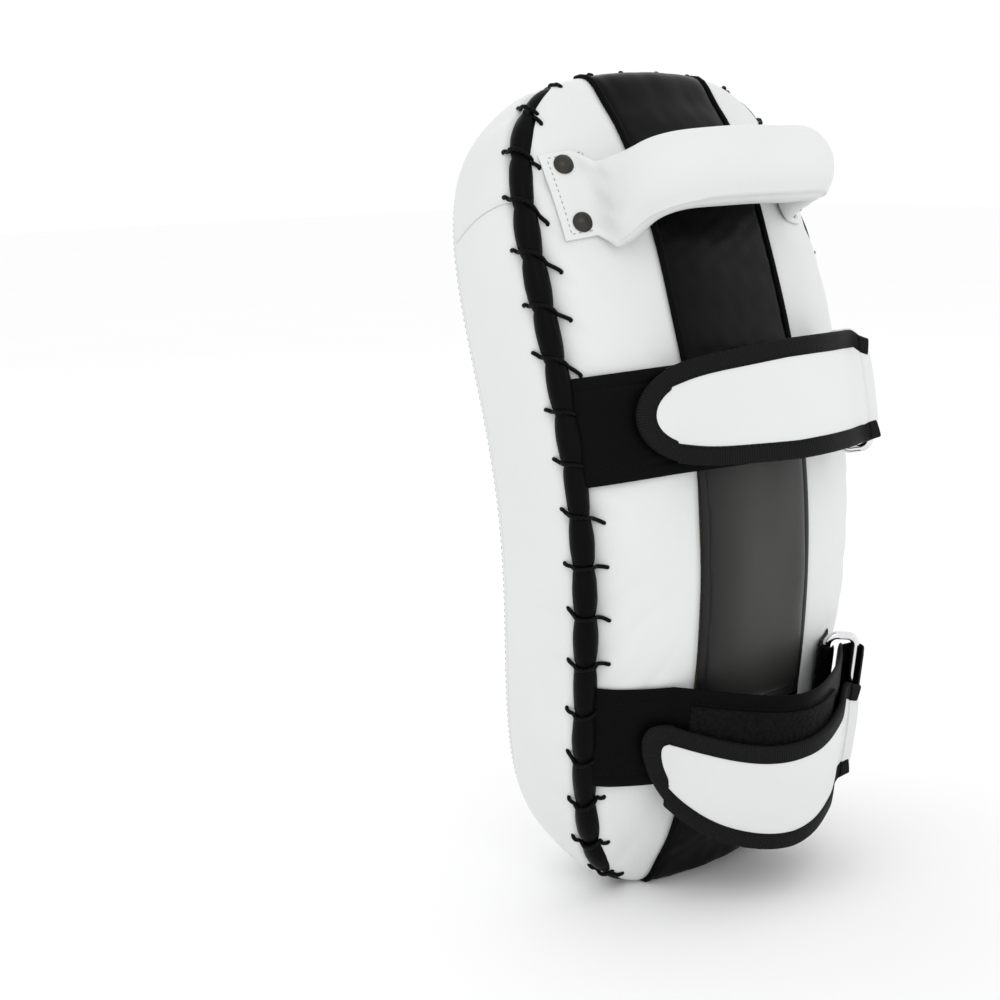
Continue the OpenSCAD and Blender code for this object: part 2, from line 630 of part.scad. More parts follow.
front_panel();
side_gusset();
top_gusset();
back_panel_left();
back_panel_right();
centre_panel_top();
centre_panel_bottom();
centre_piping();
forearm_pad_cover();
forearm_pad_foam();
striking_foam();
middle_foam();
backing_foam();
edge_roll();
edge_lace();
handle_tab_left();
handle_tab_right();
handle_rivets();
handle_rivet_washers();
handle_grip_cover();
handle_grip_foam();
handle_rope();
upper_strap_band();
upper_loop_patch();
upper_ring_tab();
upper_ring();
upper_strap_fold();
upper_flap_face();
upper_flap_lining();
upper_flap_binding();
upper_hook_patch();
lower_strap_band();
lower_loop_patch();
lower_ring_tab();
lower_ring();
lower_strap_fold();
lower_flap_face();
lower_flap_lining();
lower_flap_binding();
lower_hook_patch();
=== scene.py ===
# %% [markdown]
# A Thai pad is a thick, curved forearm shield for kick training. Its striking side is one smooth leather
# face. Its strap side has two side panels, a black centre, a stuffed handle and two forearm straps. The
# whole skin is laced shut round one rolled edge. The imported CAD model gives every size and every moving
# body, so it is loaded first, and everything below is built around it in the same frame, in metres.

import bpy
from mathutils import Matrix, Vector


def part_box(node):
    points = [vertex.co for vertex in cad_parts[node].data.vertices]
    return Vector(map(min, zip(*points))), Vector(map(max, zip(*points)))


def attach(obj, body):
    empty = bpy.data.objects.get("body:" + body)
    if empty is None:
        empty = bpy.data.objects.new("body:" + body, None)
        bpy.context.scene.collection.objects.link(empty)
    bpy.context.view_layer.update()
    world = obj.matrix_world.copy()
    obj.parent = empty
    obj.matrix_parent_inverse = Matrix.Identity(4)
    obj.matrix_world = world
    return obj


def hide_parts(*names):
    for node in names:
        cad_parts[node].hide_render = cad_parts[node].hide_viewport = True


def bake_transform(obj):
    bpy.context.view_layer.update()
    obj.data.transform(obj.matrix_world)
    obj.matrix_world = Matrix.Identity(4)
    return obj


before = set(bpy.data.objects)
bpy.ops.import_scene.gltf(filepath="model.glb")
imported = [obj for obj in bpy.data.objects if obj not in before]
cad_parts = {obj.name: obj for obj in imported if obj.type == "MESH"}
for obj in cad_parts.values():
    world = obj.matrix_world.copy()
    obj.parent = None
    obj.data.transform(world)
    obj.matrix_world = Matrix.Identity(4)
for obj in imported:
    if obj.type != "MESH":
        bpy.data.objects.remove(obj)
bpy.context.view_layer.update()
import math

import bmesh
import bpy
import numpy as np
from mathutils import Matrix, Vector

scene = bpy.context.scene

# %% [markdown]
# The pad is curved along its length, so a plain x, y, z position is awkward for sewing pieces on it. It is
# easier to think in the pad's own coordinates, in millimetres: u runs across the width, v runs along the
# length, and h is the height above the laced edge, towards the straps. One function bends those onto the
# curve, leans the pad as it stands, and stops at the surface it stands on, where the soft end goes flat.

# %% The pad's own coordinates
HALF_L, HALF_W = 191.5, 93.0
SIDE_DEPTH, FACE_CROWN, BACK_CROWN = 54.0, 13.0, 23.0
BOW, BOW_EASE, TAPER, SETTLE = 36.0, 0.47, 0.08, 5.0
LEAN = math.radians(4)
CORNER, CORNER_EASE, SEAM_DRAW, WALL_SWELL = 4.2, 0.4, 6.7, 3.0
EDGE_DROP = 5.0
ROLL_R, ROLL_INSET, ROLL_RISE = 6.0, 3.5, 2.0 - EDGE_DROP
STRIPE_HALF, PIPING_R, SKIN = 36.0, 1.6, 2.0
PAD_TOP, PAD_BOTTOM, PAD_LOFT = 28.0, -101.0, 4.5
MM = 0.001


def bow(t):
    return BOW * t * t * (1 - BOW_EASE * (t * t - 1))


def bow_slope(t):
    return BOW * (2 * t * (1 - BOW_EASE * (t * t - 1)) - 2 * BOW_EASE * t**3) / HALF_L


def leaned(y, z):
    return y * math.cos(LEAN) + z * math.sin(LEAN), z * math.cos(LEAN) - y * math.sin(LEAN)


def bent(u, h, v):
    slope = bow_slope(v / HALF_L)
    stretch = np.sqrt(1 + slope * slope)
    y, z = leaned(bow(v / HALF_L) - h / stretch, v + h * slope / stretch)
    return u, y, z


def edge(a, k=0.0, grow=0.0):
    """Outline at depth share k, from 0 at the laced edge to 1 at the front seam, seen at angle a."""
    power = CORNER - CORNER_EASE * k
    c, s = np.cos(np.radians(a)), np.sin(np.radians(a))
    reach = (np.abs(c) ** power + np.abs(s) ** power) ** (-1 / power)
    v = (HALF_L - SEAM_DRAW * k + grow) * reach * s
    return (HALF_W - k + grow) * reach * c * (1 + TAPER * v / HALF_L), v


low_u, low_v = edge(np.arange(240, 301, 3.0), 0, ROLL_R - ROLL_INSET)
LIFT = -bent(low_u, ROLL_RISE, low_v)[2].min() - SETTLE
REAR = bent(0.0, -8.0, -HALF_L)[1]


def at(u, h, v, floor=0.0):
    """Points in the frame, in metres, from the pad's own coordinates."""
    x, y, z = np.broadcast_arrays(*bent(np.asarray(u, float), np.asarray(h, float), np.asarray(v, float)))
    return np.stack([x, y - REAR, np.maximum(z + LIFT, floor)], -1) * MM


def upward(u, v):
    """The direction in which height grows there, for stitches to stand on."""
    return at(u, 60, v) - at(u, 50, v)


low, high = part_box("edge_roll")
roll_u, roll_v = edge(np.arange(0, 360, 5.0), 0, ROLL_R - ROLL_INSET)
here = at(roll_u, ROLL_RISE, roll_v)[:, 2].max()
print("top of the edge roll, CAD and here:", round(high.z, 4), round(float(here), 4))

# %% [markdown]
# The strap side is crowned, and so is the striking face. The lacing runs round the edge in even steps, so
# the edge needs a measure of its own length. Each stitch pulls a short wrinkle into the leather beside it,
# and every later piece that meets the roll asks one function how deep the leather is drawn in there.

# %% Crowns, edge length and puckers
STITCHES = 44


def half_at(v):
    """Half the width of the laced edge there."""
    left = np.maximum(1 - np.minimum(abs(v / HALF_L), 1) ** CORNER, 1e-4)
    return HALF_W * (1 + TAPER * v / HALF_L) * left ** (1 / CORNER)


def crown(u, v):
    """Height of the strap side before its leather is quilted."""
    side = 1 - np.minimum(abs(u) / half_at(v), 1) ** 2.33
    return (BACK_CROWN + EDGE_DROP) * side * (1 - np.minimum(abs(v / HALF_L), 1) ** 10) - EDGE_DROP


walk = np.arange(0, 360.5, 0.5)
walk_u, walk_v = edge(walk)
walked = np.concatenate([[0], np.cumsum(np.hypot(np.diff(walk_u), np.diff(walk_v)))])
EDGE_LENGTH = walked[-1]


def angle_at(share):
    turns = np.floor(share)
    return np.interp((share - turns) * EDGE_LENGTH, walked, walk) + 360 * turns


def share_at(a):
    turns = np.floor(a / 360)
    return np.interp(a - 360 * turns, walk, walked) / EDGE_LENGTH + turns


def edge_out(a):
    """Outward direction of the edge at angle a, as (u, v)."""
    du = edge(a + 0.5)[0] - edge(a - 0.5)[0]
    dv = edge(a + 0.5)[1] - edge(a - 0.5)[1]
    return dv / np.hypot(du, dv), -du / np.hypot(du, dv)


pull = np.random.default_rng(5).uniform(0.55, 1.25, STITCHES)


def pucker(a, away, depth, reach):
    """How far the leather is drawn in at edge angle a, this far away from the roll."""
    step = share_at(a) * STITCHES - 0.5
    near = np.round(step)
    force = pull[near.astype(int) % STITCHES]
    line = np.exp(-(((step - near) / 0.16) ** 2))
    broad = 0.5 + 0.5 * np.cos(2 * np.pi * (step - near))
    fade = np.exp(-np.maximum(away, 0) / (reach * force))
    return depth * force * fade * (0.6 * line + 0.4 * broad)


def from_edge(u, v):
    """Edge angle of a point on the strap side, and its distance in from the edge."""
    wide = HALF_W * (1 + TAPER * v / HALF_L)
    x, y = u / wide, v / HALF_L
    size = np.maximum((abs(x) ** CORNER + abs(y) ** CORNER) ** (1 / CORNER), 1e-6)
    fall = size ** (1 - CORNER) * np.hypot(abs(x) ** (CORNER - 1) / wide, abs(y) ** (CORNER - 1) / HALF_L)
    return np.degrees(np.arctan2(y, x)), (1 - size) / np.maximum(fall, 1e-4)


RIGHT_SHARE = 0.74


def at_ends(a):
    """1 at the two ends of the pad, and 0 along its sides."""
    return np.clip(np.abs(np.sin(np.radians(a))) * 2.2 - 1.2, 0, 1)


def over_share(a):
    """How far the panels swell out over the roll: fully at the ends, less at the right, not at the left."""
    right = np.clip(np.cos(np.radians(a)) * 2.4 - 1.2, 0, 1)
    return np.maximum(at_ends(a), RIGHT_SHARE * right)


def ripple(x, y, size, seed, waves=9):
    """A smooth uneven field of about -1 to 1, with waves near that size."""
    rng = np.random.default_rng(seed)
    total = 0.0
    for _ in range(waves):
        turn, start = rng.uniform(0, 2 * np.pi, 2)
        pitch = size * rng.uniform(0.7, 1.6)
        total = total + np.sin((x * np.cos(turn) + y * np.sin(turn)) * 2 * np.pi / pitch + start)
    return total / math.sqrt(waves) * 0.7


print("edge is", round(EDGE_LENGTH), "mm long, a stitch every", round(EDGE_LENGTH / STITCHES, 1), "mm")

# %% [markdown]
# Leather panels are sheets with a thickness, rolls and cords are tubes, and stitches are one small shape
# many times over. All of them are grids of points, so one small class collects grids and bridges between
# them, and lays a UV map out in metres, which ribs and twisted threads need to follow their piece.

# %% Mesh tools
class Sewing:
    """Collects the points, faces and lay (a UV map in metres) of one piece."""

    def __init__(self):
        self.points, self.faces, self.lay, self.count = [], [], [], 0

    def grid(self, p, wrap_rows=False, wrap_cols=False):
        """Adds a grid of points with its faces, and returns the points' numbers."""
        rows, cols = p.shape[:2]
        ids = np.arange(rows * cols).reshape(rows, cols) + self.count
        self.points.append(p.reshape(-1, 3))
        self.count += rows * cols
        row_count, col_count = (rows if wrap_rows else rows - 1), (cols if wrap_cols else cols - 1)
        i, j = np.meshgrid(np.arange(row_count), np.arange(col_count))
        i, j = i.ravel(), j.ravel()
        down, along = (i + 1) % rows, (j + 1) % cols
        self.faces.append(np.stack([ids[i, j], ids[down, j], ids[down, along], ids[i, along]], -1))
        row_m = measured(np.linalg.norm(np.roll(p, -1, 0) - p, axis=2).mean(1))
        col_m = measured(np.linalg.norm(np.roll(p, -1, 1) - p, axis=2).mean(0))
        corners = [(i, j), (i + 1, j), (i + 1, j + 1), (i, j + 1)]
        self.lay.append(np.stack([np.stack([row_m[x], col_m[y]], -1) for x, y in corners], 1))
        return ids

    def bridge(self, a, b, wrap=False):
        """Adds faces between two rows of points."""
        if wrap:
            a, b = np.append(a, a[0]), np.append(b, b[0])
        self.faces.append(np.stack([a[:-1], a[1:], b[1:], b[:-1]], -1))
        self.lay.append(np.zeros((len(a) - 1, 4, 2)))

    def cap(self, ids):
        """Closes a ring of points with a fan from its middle."""
        places = np.concatenate(self.points)[ids]
        self.points.append(places.mean(0)[None])
        middle = np.full(len(ids), self.count)
        self.count += 1
        self.faces.append(np.stack([ids, np.roll(ids, -1), middle, middle], -1))
        self.lay.append(np.zeros((len(ids), 4, 2)))

    def slab(self, outer, inner):
        """Two matching grids become one closed sheet."""
        a, b = self.grid(outer), self.grid(inner)
        for x, y in ((a[0], b[0]), (a[-1], b[-1]), (a[:, 0], b[:, 0]), (a[:, -1], b[:, -1])):
            self.bridge(x, y)

    def tube(self, rings, hoop=False):
        """Rings of points become a closed tube, or one that runs back into itself."""
        ids = self.grid(rings, wrap_rows=hoop, wrap_cols=True)
        if not hoop:
            self.cap(ids[0])
            self.cap(ids[-1])

    def make(self, name, material, sharp=40):
        """Turns what was collected into one smooth object."""
        mesh = bpy.data.meshes.new(name)
        quads = np.concatenate(self.faces)
        lay = np.concatenate(self.lay)
        faces = [list(dict.fromkeys(q)) for q in quads.tolist()]
        kept = [n for n, f in enumerate(faces) if len(f) > 2]
        mesh.from_pydata(np.concatenate(self.points).tolist(), [], [faces[n] for n in kept])
        uv = mesh.uv_layers.new(name="Lay")
        flat = np.concatenate([lay[n][: len(faces[n])] for n in kept])
        uv.data.foreach_set("uv", flat.astype(np.float32).ravel())
        work = bmesh.new()
        work.from_mesh(mesh)
        bmesh.ops.recalc_face_normals(work, faces=work.faces)
        work.to_mesh(mesh)
        work.free()
        mesh.shade_smooth()
        mesh.set_sharp_from_angle(angle=math.radians(sharp))
        mesh.materials.append(material)
        made = bpy.data.objects.new(name, mesh)
        scene.collection.objects.link(made)
        return made


def sheet(name, material, slot, outer, inner):
    """One closed sheet between two matching grids of points."""
    sewing = Sewing()
    sewing.slab(outer, inner)
    return sewing.make(name, material)


def measured(steps):
    return np.concatenate([[0], np.cumsum(steps)])


def unit(p):
    return p / np.maximum(np.linalg.norm(p, axis=-1, keepdims=True), 1e-12)


def tube_rings(path, radius, sides=8):
    """Round rings along a line, which turn with it as little as they can."""
    tangents = unit(np.gradient(path, axis=0))
    side = unit(np.cross(tangents[0], (0.0, 0.3, 1.0)))
    rings = []
    q = np.linspace(0, 2 * np.pi, sides, endpoint=False)[:, None]
    for place, along in zip(path, tangents):
        side = unit(side - along * (side @ along))
        rings.append(place + radius * (side * np.cos(q) + np.cross(along, side) * np.sin(q)))
    return np.array(rings)


def smooth_line(points, per=6):
    """A smooth line through a few points."""
    p = np.vstack([2 * points[0] - points[1], points, 2 * points[-1] - points[-2]])
    t = np.linspace(0, 1, per, endpoint=False)[:, None]
    out = []
    for a, b, c, d in zip(p[:-3], p[1:-2], p[2:-1], p[3:]):
        square, cube = 2 * a - 5 * b + 4 * c - d, 3 * b - a - 3 * c + d
        out.append(0.5 * (2 * b + (c - a) * t + square * t**2 + cube * t**3))
    return np.vstack(out + [points[-1:]])


def even_steps(path, step):
    """Points and tangents at even steps along a line."""
    run = measured(np.linalg.norm(np.diff(path, axis=0), axis=1))
    spots = np.arange(step / 2, run[-1], step)
    here = np.stack([np.interp(spots, run, path[:, n]) for n in range(3)], -1)
    ahead = np.stack([np.interp(spots + step * 0.2, run, path[:, n]) for n in range(3)], -1)
    behind = np.stack([np.interp(spots - step * 0.2, run, path[:, n]) for n in range(3)], -1)
    return spots, run, here, unit(ahead - behind)


def stitch_row(sewing, path, normals, pitch=3.0, length=2.0, thick=0.55, sink=0.1):
    """Adds a row of short stitches along a line that lies on a surface."""
    spots, run, here, along = even_steps(path, pitch * MM)
    out = unit(np.stack([np.interp(spots, run, normals[:, n]) for n in range(3)], -1))
    side = unit(np.cross(out, along))
    q = np.linspace(0, 2 * np.pi, 6, endpoint=False)
    shares = np.array([-1.0, -0.8, -0.3, 0.3, 0.8, 1.0])
    sizes = np.array([0.25, 0.75, 1.0, 1.0, 0.75, 0.25])
    for place, a, o, s in zip(here, along, out, side):
        lift = o * ((sizes - 1)[:, None] * thick * 0.6 - sink) * MM
        spine = place + a * (shares[:, None] * length / 2 * MM) + lift
        round_off = s * np.cos(q)[:, None] + o * np.sin(q)[:, None]
        sewing.tube(spine[:, None] + round_off[None] * (sizes[:, None, None] * thick / 2 * MM))


# %% [markdown]
# Finishes are worked out in nodes. Writing shader maths as Python expressions keeps them readable, so a
# small class wraps one socket: plus, minus, times and so on add the Math nodes, and one method adds any
# other node from its type, its settings and its sockets.

# %% Shader sockets as numbers
class Wire:
    """One output socket of a material's nodes, used in sums like a number."""

    def __init__(self, tree, socket=None):
        self.tree, self.socket = tree, socket

    def node(self, kind, settings=None, sockets=None, out=0):
        """Adds a node: its settings first, and then the values or links of its sockets."""
        made = self.tree.nodes.new(kind)
        for key, value in (settings or {}).items():
            setattr(made, key, value)
        for key, value in (sockets or {}).items():
            if isinstance(value, Wire):
                self.tree.links.new(value.socket, made.inputs[key])
            else:
                made.inputs[key].default_value = value
        return Wire(self.tree, made.outputs[out])

    def math(self, operation, *values):
        return self.node("ShaderNodeMath", {"operation": operation}, dict(enumerate(values)))

    def __add__(self, other):
        return self.math("ADD", self, other)

    def __sub__(self, other):
        return self.math("SUBTRACT", self, other)

    def __rsub__(self, other):
        return self.math("SUBTRACT", other, self)

    def __mul__(self, other):
        return self.math("MULTIPLY", self, other)

    __radd__ = __add__
    __rmul__ = __mul__

    def mix(self, a, b):
        """Colour a where this is 0, and colour b where it is 1."""
        return self.node("ShaderNodeMix", {"data_type": "RGBA"}, {0: self, 6: a, 7: b}, out=2)


def rgb(r, g, b):
    return (r, g, b, 1.0)


def new_finish(name, **constants):
    """A material with its shader's fixed values set, its shader, and a wire to start from."""
    material = bpy.data.materials.new(name)
    material.use_nodes = True
    shader = material.node_tree.nodes["Principled BSDF"]
    for key, value in constants.items():
        shader.inputs[key.replace("_", " ")].default_value = value
    return material, shader, Wire(material.node_tree)


def plug(wire, shader, socket):
    wire.tree.links.new(wire.socket, shader.inputs[socket])


def noise(w, place, scale, detail=2.0, **more):
    return w.node("ShaderNodeTexNoise", {}, {"Vector": place, "Scale": scale, "Detail": detail, **more})


def plug_bump(w, height, shader, strength, depth):
    """Turns a height into a bump of this depth in metres."""
    bump = w.node("ShaderNodeBump", {}, {"Height": height, "Strength": strength, "Distance": depth})
    plug(bump, shader, "Normal")


# %% [markdown]
# Synthetic leather has a fine pebble grain about a millimetre across, softer waves where it is stretched
# over foam, and a roughness that changes a little from place to place. One function makes every leather
# on the pad from those three layers, and only their amounts change: white and firm, black and glossy, or
# soft and matt. The soft forearm leather also gets a painted highlight, paler down its middle.

# %% Leathers
def leather(name, dark, light, rough, grain=1.0, waves=0.0, specular=0.5, stretch=1.0, highlight_reach=0.0):
    """Leather between two colours. The last argument, where set, paints a highlight: the colour pales towards
    x = 0, from that far away, in metres.
    """
    material, shader, w = new_finish(name, Specular_IOR_Level=specular)
    place = w.node("ShaderNodeTexCoord", out=3)
    cells = w.node("ShaderNodeTexVoronoi", {"feature": "SMOOTH_F1"}, {"Vector": place, "Scale": 1050.0})
    pores = noise(w, place, 2400.0)
    tone = noise(w, place, 14.0, 3.0)
    squeezed = w.node("ShaderNodeMapping", {}, {"Vector": place, "Scale": (stretch, 1.0, 1.0)})
    folds = noise(w, squeezed, 95.0, 4.0, Distortion=0.6)
    height = cells * (0.7 * grain) + pores * (0.3 * grain) + folds * (6.0 * waves)
    tone_and_highlight = w.node("ShaderNodeMapRange", {}, {"Value": tone, "From Min": 0.3, "From Max": 0.7})
    if highlight_reach:
        # Painted highlight: the colour is palest at x = 0 and falls to the dark colour this far to either
        # side.
        off_centre = w.node("ShaderNodeSeparateXYZ", {}, {0: place}, out=0) * (1 / highlight_reach)
        tone_and_highlight = (1 - off_centre * off_centre) * (tone_and_highlight * 0.2 + 0.8)
    plug(tone_and_highlight.mix(dark, light), shader, "Base Color")
    plug(tone * 0.16 + cells * 0.05 + (rough - 0.1), shader, "Roughness")
    plug_bump(w, height, shader, 0.5, 0.00022)
    return material


WHITE_LEATHER = leather("white_leather", rgb(0.74, 0.752, 0.752), rgb(0.765, 0.777, 0.777), 0.5, grain=0.55)
BLACK_LEATHER = leather(
    "black_leather", rgb(0.0015, 0.0015, 0.0016), rgb(0.003, 0.003, 0.0032), 0.5, grain=0.8, specular=0.05
)
GLOSS_LEATHER = leather(
    "gloss_black_leather", rgb(0.0008, 0.0008, 0.0009), rgb(0.002, 0.002, 0.002), 0.3, 0.4, 0.1,
    specular=0.09, stretch=0.45,
)
# The forearm leather is near black; its lighter colour is a painted highlight, palest down the cushion's
# middle.
SOFT_LEATHER = leather(
    "forearm_leather", rgb(0.003, 0.003, 0.003), rgb(0.048, 0.048, 0.046), 0.5, 0.9, 0.1,
    specular=0.3, highlight_reach=0.037,
)
ROLL_LEATHER = leather(
    "roll_leather", rgb(0.001, 0.001, 0.001), rgb(0.0025, 0.0025, 0.0025), 0.42, 0.6, 0.4, specular=0.06
)
print("leathers made")

# %% [markdown]
# Woven and spun goods carry their pattern along their own length, so they read the lay map: ribs across
# the binding tape, a twist along thread and lacing cord. The hook and loop tapes are a carpet of tiny
# hooks or loops, which a cell pattern stands for at their size.

# %% Tapes, threads and linings
def ribbed(name, colour, rough, pitch_mm, depth_mm, slant=0.0):
    """Ribs across the lay of a tape, or a twist along a thread where slant is set."""
    material, shader, w = new_finish(name, Specular_IOR_Level=0.06)
    lay = w.node("ShaderNodeUVMap", {"uv_map": "Lay"})
    along = w.node("ShaderNodeSeparateXYZ", {}, {0: lay}, out=0)
    around = w.node("ShaderNodeSeparateXYZ", {}, {0: lay}, out=1)
    wave = w.math("SINE", along * (2 * math.pi / (pitch_mm * MM)) + around * slant)
    place = w.node("ShaderNodeTexCoord", out=3)
    fuzz = noise(w, place, 3200.0)
    # The grooves between ribs and twists are painted darker: painted shade.
    shade = wave * 0.5 + 0.5
    plug(shade.mix(rgb(*(0.55 * c for c in colour)), rgb(*colour)), shader, "Base Color")
    plug(fuzz * 0.2 + (rough - 0.1), shader, "Roughness")
    plug_bump(w, wave * 0.5 + fuzz * 0.6, shader, 0.8, depth_mm * MM)
    return material


def carpet(name, colour, size, depth_mm):
    """A pile of small hooks, loops or fibres."""
    material, shader, w = new_finish(name, Specular_IOR_Level=0.06, Sheen_Weight=0.02)
    place = w.node("ShaderNodeTexCoord", out=3)
    cells = w.node("ShaderNodeTexVoronoi", {}, {"Vector": place, "Scale": size})
    fuzz = noise(w, place, size * 2.2, 3.0)
    plug_bump(w, cells + fuzz * 0.6, shader, 0.9, depth_mm * MM)
    plug(cells.mix(rgb(*colour), rgb(*(0.4 * c for c in colour))), shader, "Base Color")
    plug(fuzz * 0.15 + 0.72, shader, "Roughness")
    return material


BINDING = ribbed("binding_tape", (0.013, 0.013, 0.013), 0.62, 1.1, 0.25)
CORD = ribbed("waxed_cord", (0.005, 0.005, 0.0055), 0.45, 1.9, 0.2, slant=2600.0)
PALE_THREAD = ribbed("pale_thread", (0.50, 0.51, 0.51), 0.6, 0.9, 0.05, slant=2600.0)
DARK_THREAD = ribbed("dark_thread", (0.008, 0.008, 0.0085), 0.5, 0.9, 0.05, slant=2600.0)
LINING = carpet("nylon_lining", (0.006, 0.006, 0.0065), 1500.0, 0.12)
HOOKS = carpet("hook_tape", (0.01, 0.01, 0.011), 800.0, 0.5)
LOOPS = carpet("loop_tape", (0.008, 0.008, 0.0085), 520.0, 0.6)
FOAM = carpet("foam", (0.62, 0.55, 0.36), 700.0, 0.4)
ROPE = carpet("rope", (0.5, 0.45, 0.36), 900.0, 0.5)
print("tapes and threads made")

# %% [markdown]
# The ring wire is chromed, the washers are plain steel, and the rivet caps have a darker, brushed gunmetal
# finish. Metals differ mostly in their roughness and the fine marks in it.

# %% Metals
def metal(name, colour, rough, marks, scale):
    material, shader, w = new_finish(name, Metallic=1.0)
    place = w.node("ShaderNodeTexCoord", out=3)
    wear = noise(w, place, scale, 5.0, Roughness=0.65)
    plug(wear.mix(rgb(*(0.8 * c for c in colour)), rgb(*colour)), shader, "Base Color")
    plug(wear * marks + (rough - marks / 2), shader, "Roughness")
    plug_bump(w, wear, shader, 0.3, 0.00003)
    return material


CHROME = metal("chrome_wire", (0.86, 0.86, 0.88), 0.14, 0.12, 400.0)
GUNMETAL = metal("gunmetal", (0.06, 0.058, 0.05), 0.36, 0.2, 600.0)
STEEL = metal("steel", (0.62, 0.62, 0.63), 0.35, 0.2, 500.0)
print("metals made")

# %% [markdown]
# The camera stands to the left of the strap side, a little above mid height, and is rolled slightly. Its
# direction is worked out against the upright pad and then leaned with it. A white surround, a pale floor
# and three large soft lights are enough, because white leather shows its shape by gentle shading, and
# black leather by what it reflects.

# %% Camera, floor and light
def leaned_vector(p):
    y, z = leaned(p[1], p[2])
    return Vector((p[0], y, z))


VIEW_AZIMUTH, VIEW_RISE, VIEW_ROLL = math.radians(-46.8), math.radians(7.6), math.radians(-3.8)
VIEW_DISTANCE, LENS, SHIFT = 929.5, 71.5, (-0.223, -0.017)
back = Vector((
    math.sin(VIEW_AZIMUTH) * math.cos(VIEW_RISE),
    -math.cos(VIEW_AZIMUTH) * math.cos(VIEW_RISE),
    math.sin(VIEW_RISE),
))
right = Vector((math.cos(VIEW_AZIMUTH), math.sin(VIEW_AZIMUTH), 0))
up = back.cross(right)
rolled_right = right * math.cos(VIEW_ROLL) + up * math.sin(VIEW_ROLL)
rolled_up = up * math.cos(VIEW_ROLL) - right * math.sin(VIEW_ROLL)
camera = bpy.data.objects.new("camera", bpy.data.cameras.new("camera"))
scene.collection.objects.link(camera)
axes = [leaned_vector(p) for p in (rolled_right, rolled_up, back)]
place = (leaned_vector(back * VIEW_DISTANCE) + Vector((0, -REAR, LIFT))) * MM
camera.matrix_world = Matrix.Translation(place) @ Matrix(axes).transposed().to_4x4()
camera.data.lens = LENS
camera.data.shift_x, camera.data.shift_y = SHIFT
camera.data.clip_start = 0.01
scene.camera = camera

floor_mesh = bpy.data.meshes.new("floor")
floor_mesh.from_pydata([(-6, -6, 0), (6, -6, 0), (6, 6, 0), (-6, 6, 0)], [], [(0, 1, 2, 3)])
floor = bpy.data.objects.new("floor", floor_mesh)
scene.collection.objects.link(floor)
paper, shader, w = new_finish("paper", Roughness=0.9, Specular_IOR_Level=0.1)
fibres = w.node("ShaderNodeTexNoise", {}, {"Scale": 60.0})
plug(fibres.mix(rgb(0.975, 0.975, 0.975), rgb(0.99, 0.99, 0.99)), shader, "Base Color")
floor_mesh.materials.append(paper)

world = bpy.data.worlds.new("studio")
scene.world = world
world.use_nodes = True
world.node_tree.nodes["Background"].inputs["Color"].default_value = rgb(1, 1, 1)
world.node_tree.nodes["Background"].inputs["Strength"].default_value = 1.0
scene.view_settings.view_transform = "Standard"


def soft_light(name, place, size, power):
    lamp = bpy.data.lights.new(name, "AREA")
    lamp.shape, lamp.size, lamp.size_y, lamp.energy = "RECTANGLE", size[0], size[1], power
    made = bpy.data.objects.new(name, lamp)
    scene.collection.objects.link(made)
    made.location = place
    made.rotation_euler = (Vector((0, 0, 0.2)) - Vector(place)).to_track_quat("-Z", "Y").to_euler()
    return made


soft_light("key", (-0.9, -1.3, 1.5), (1.0, 1.0), 3.5)
soft_light("fill", (1.5, -1.2, 0.7), (0.8, 1.2), 1.0)
soft_light("rim", (0.6, 1.4, 1.3), (1.2, 0.8), 1.5)
print("camera at", [round(x, 3) for x in camera.location])

# %% [markdown]
# The striking side is one panel of leather over firm foam. It could be a subdivided box, but the seam has
# to follow the pad's outline exactly, so it is built from rings that step in from the seam, closely at
# first and then wider. The seam itself is a small valley where two panels are sewn inside out.

# %% Striking face
def seam_dip(away, depth=1.0, width=1.4):
    """The valley beside a sewn seam."""
    return depth * np.exp(-((away / width) ** 2))


def face(u, v):
    power = CORNER - CORNER_EASE
    across = u / (1 + TAPER * v / HALF_L) / (HALF_W - 1)
    size = abs(across) ** power + abs(v / (HALF_L - SEAM_DRAW)) ** power
    return -SIDE_DEPTH - FACE_CROWN * np.maximum(0, 1 - size ** (4 / power)) ** 0.6


def as_pad(obj):
    return obj


def on_body(body, obj, *nodes):
    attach(obj, body)
    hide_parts(*nodes)
    return obj


def on_root(obj, *nodes):
    return on_body("root", obj, *nodes)


around = angle_at((np.arange(300) + 0.5) / 300)
steps_in = np.array([0, 0.3, 0.7, 1.2, 1.8, 2.6, 3.6, 5, 7, 9.5, 12.5, 16, 20, 25, 31, 38, 46, 55])
seam_rows = np.array([edge(around, 1, -0.1 - d) for d in steps_in])
inner_rows = np.array([seam_rows[-1] * (1 - t) for t in np.linspace(0.15, 0.95, 9)])
rows_u = np.concatenate([seam_rows[:, 0], inner_rows[:, 0]])
rows_v = np.concatenate([seam_rows[:, 1], inner_rows[:, 1]])
inside = np.concatenate([steps_in, np.full(len(inner_rows), 60.0)])[:, None]
uneven = 0.35 * ripple(rows_u, rows_v, 75, 3) * np.minimum(inside / 12, 1)
skin_h = face(rows_u, rows_v) + seam_dip(inside) + uneven
sewing = Sewing()
outer_ids = sewing.grid(at(rows_u, skin_h, rows_v), wrap_cols=True)
inner_ids = sewing.grid(at(rows_u * 0.985, skin_h + SKIN, rows_v * 0.99, SKIN), wrap_cols=True)
sewing.bridge(outer_ids[0], inner_ids[0], wrap=True)
sewing.cap(outer_ids[-1])
sewing.cap(inner_ids[-1])
striking_face = on_root(sewing.make("striking_face_leather", WHITE_LEATHER), "front_panel")
as_pad(striking_face)

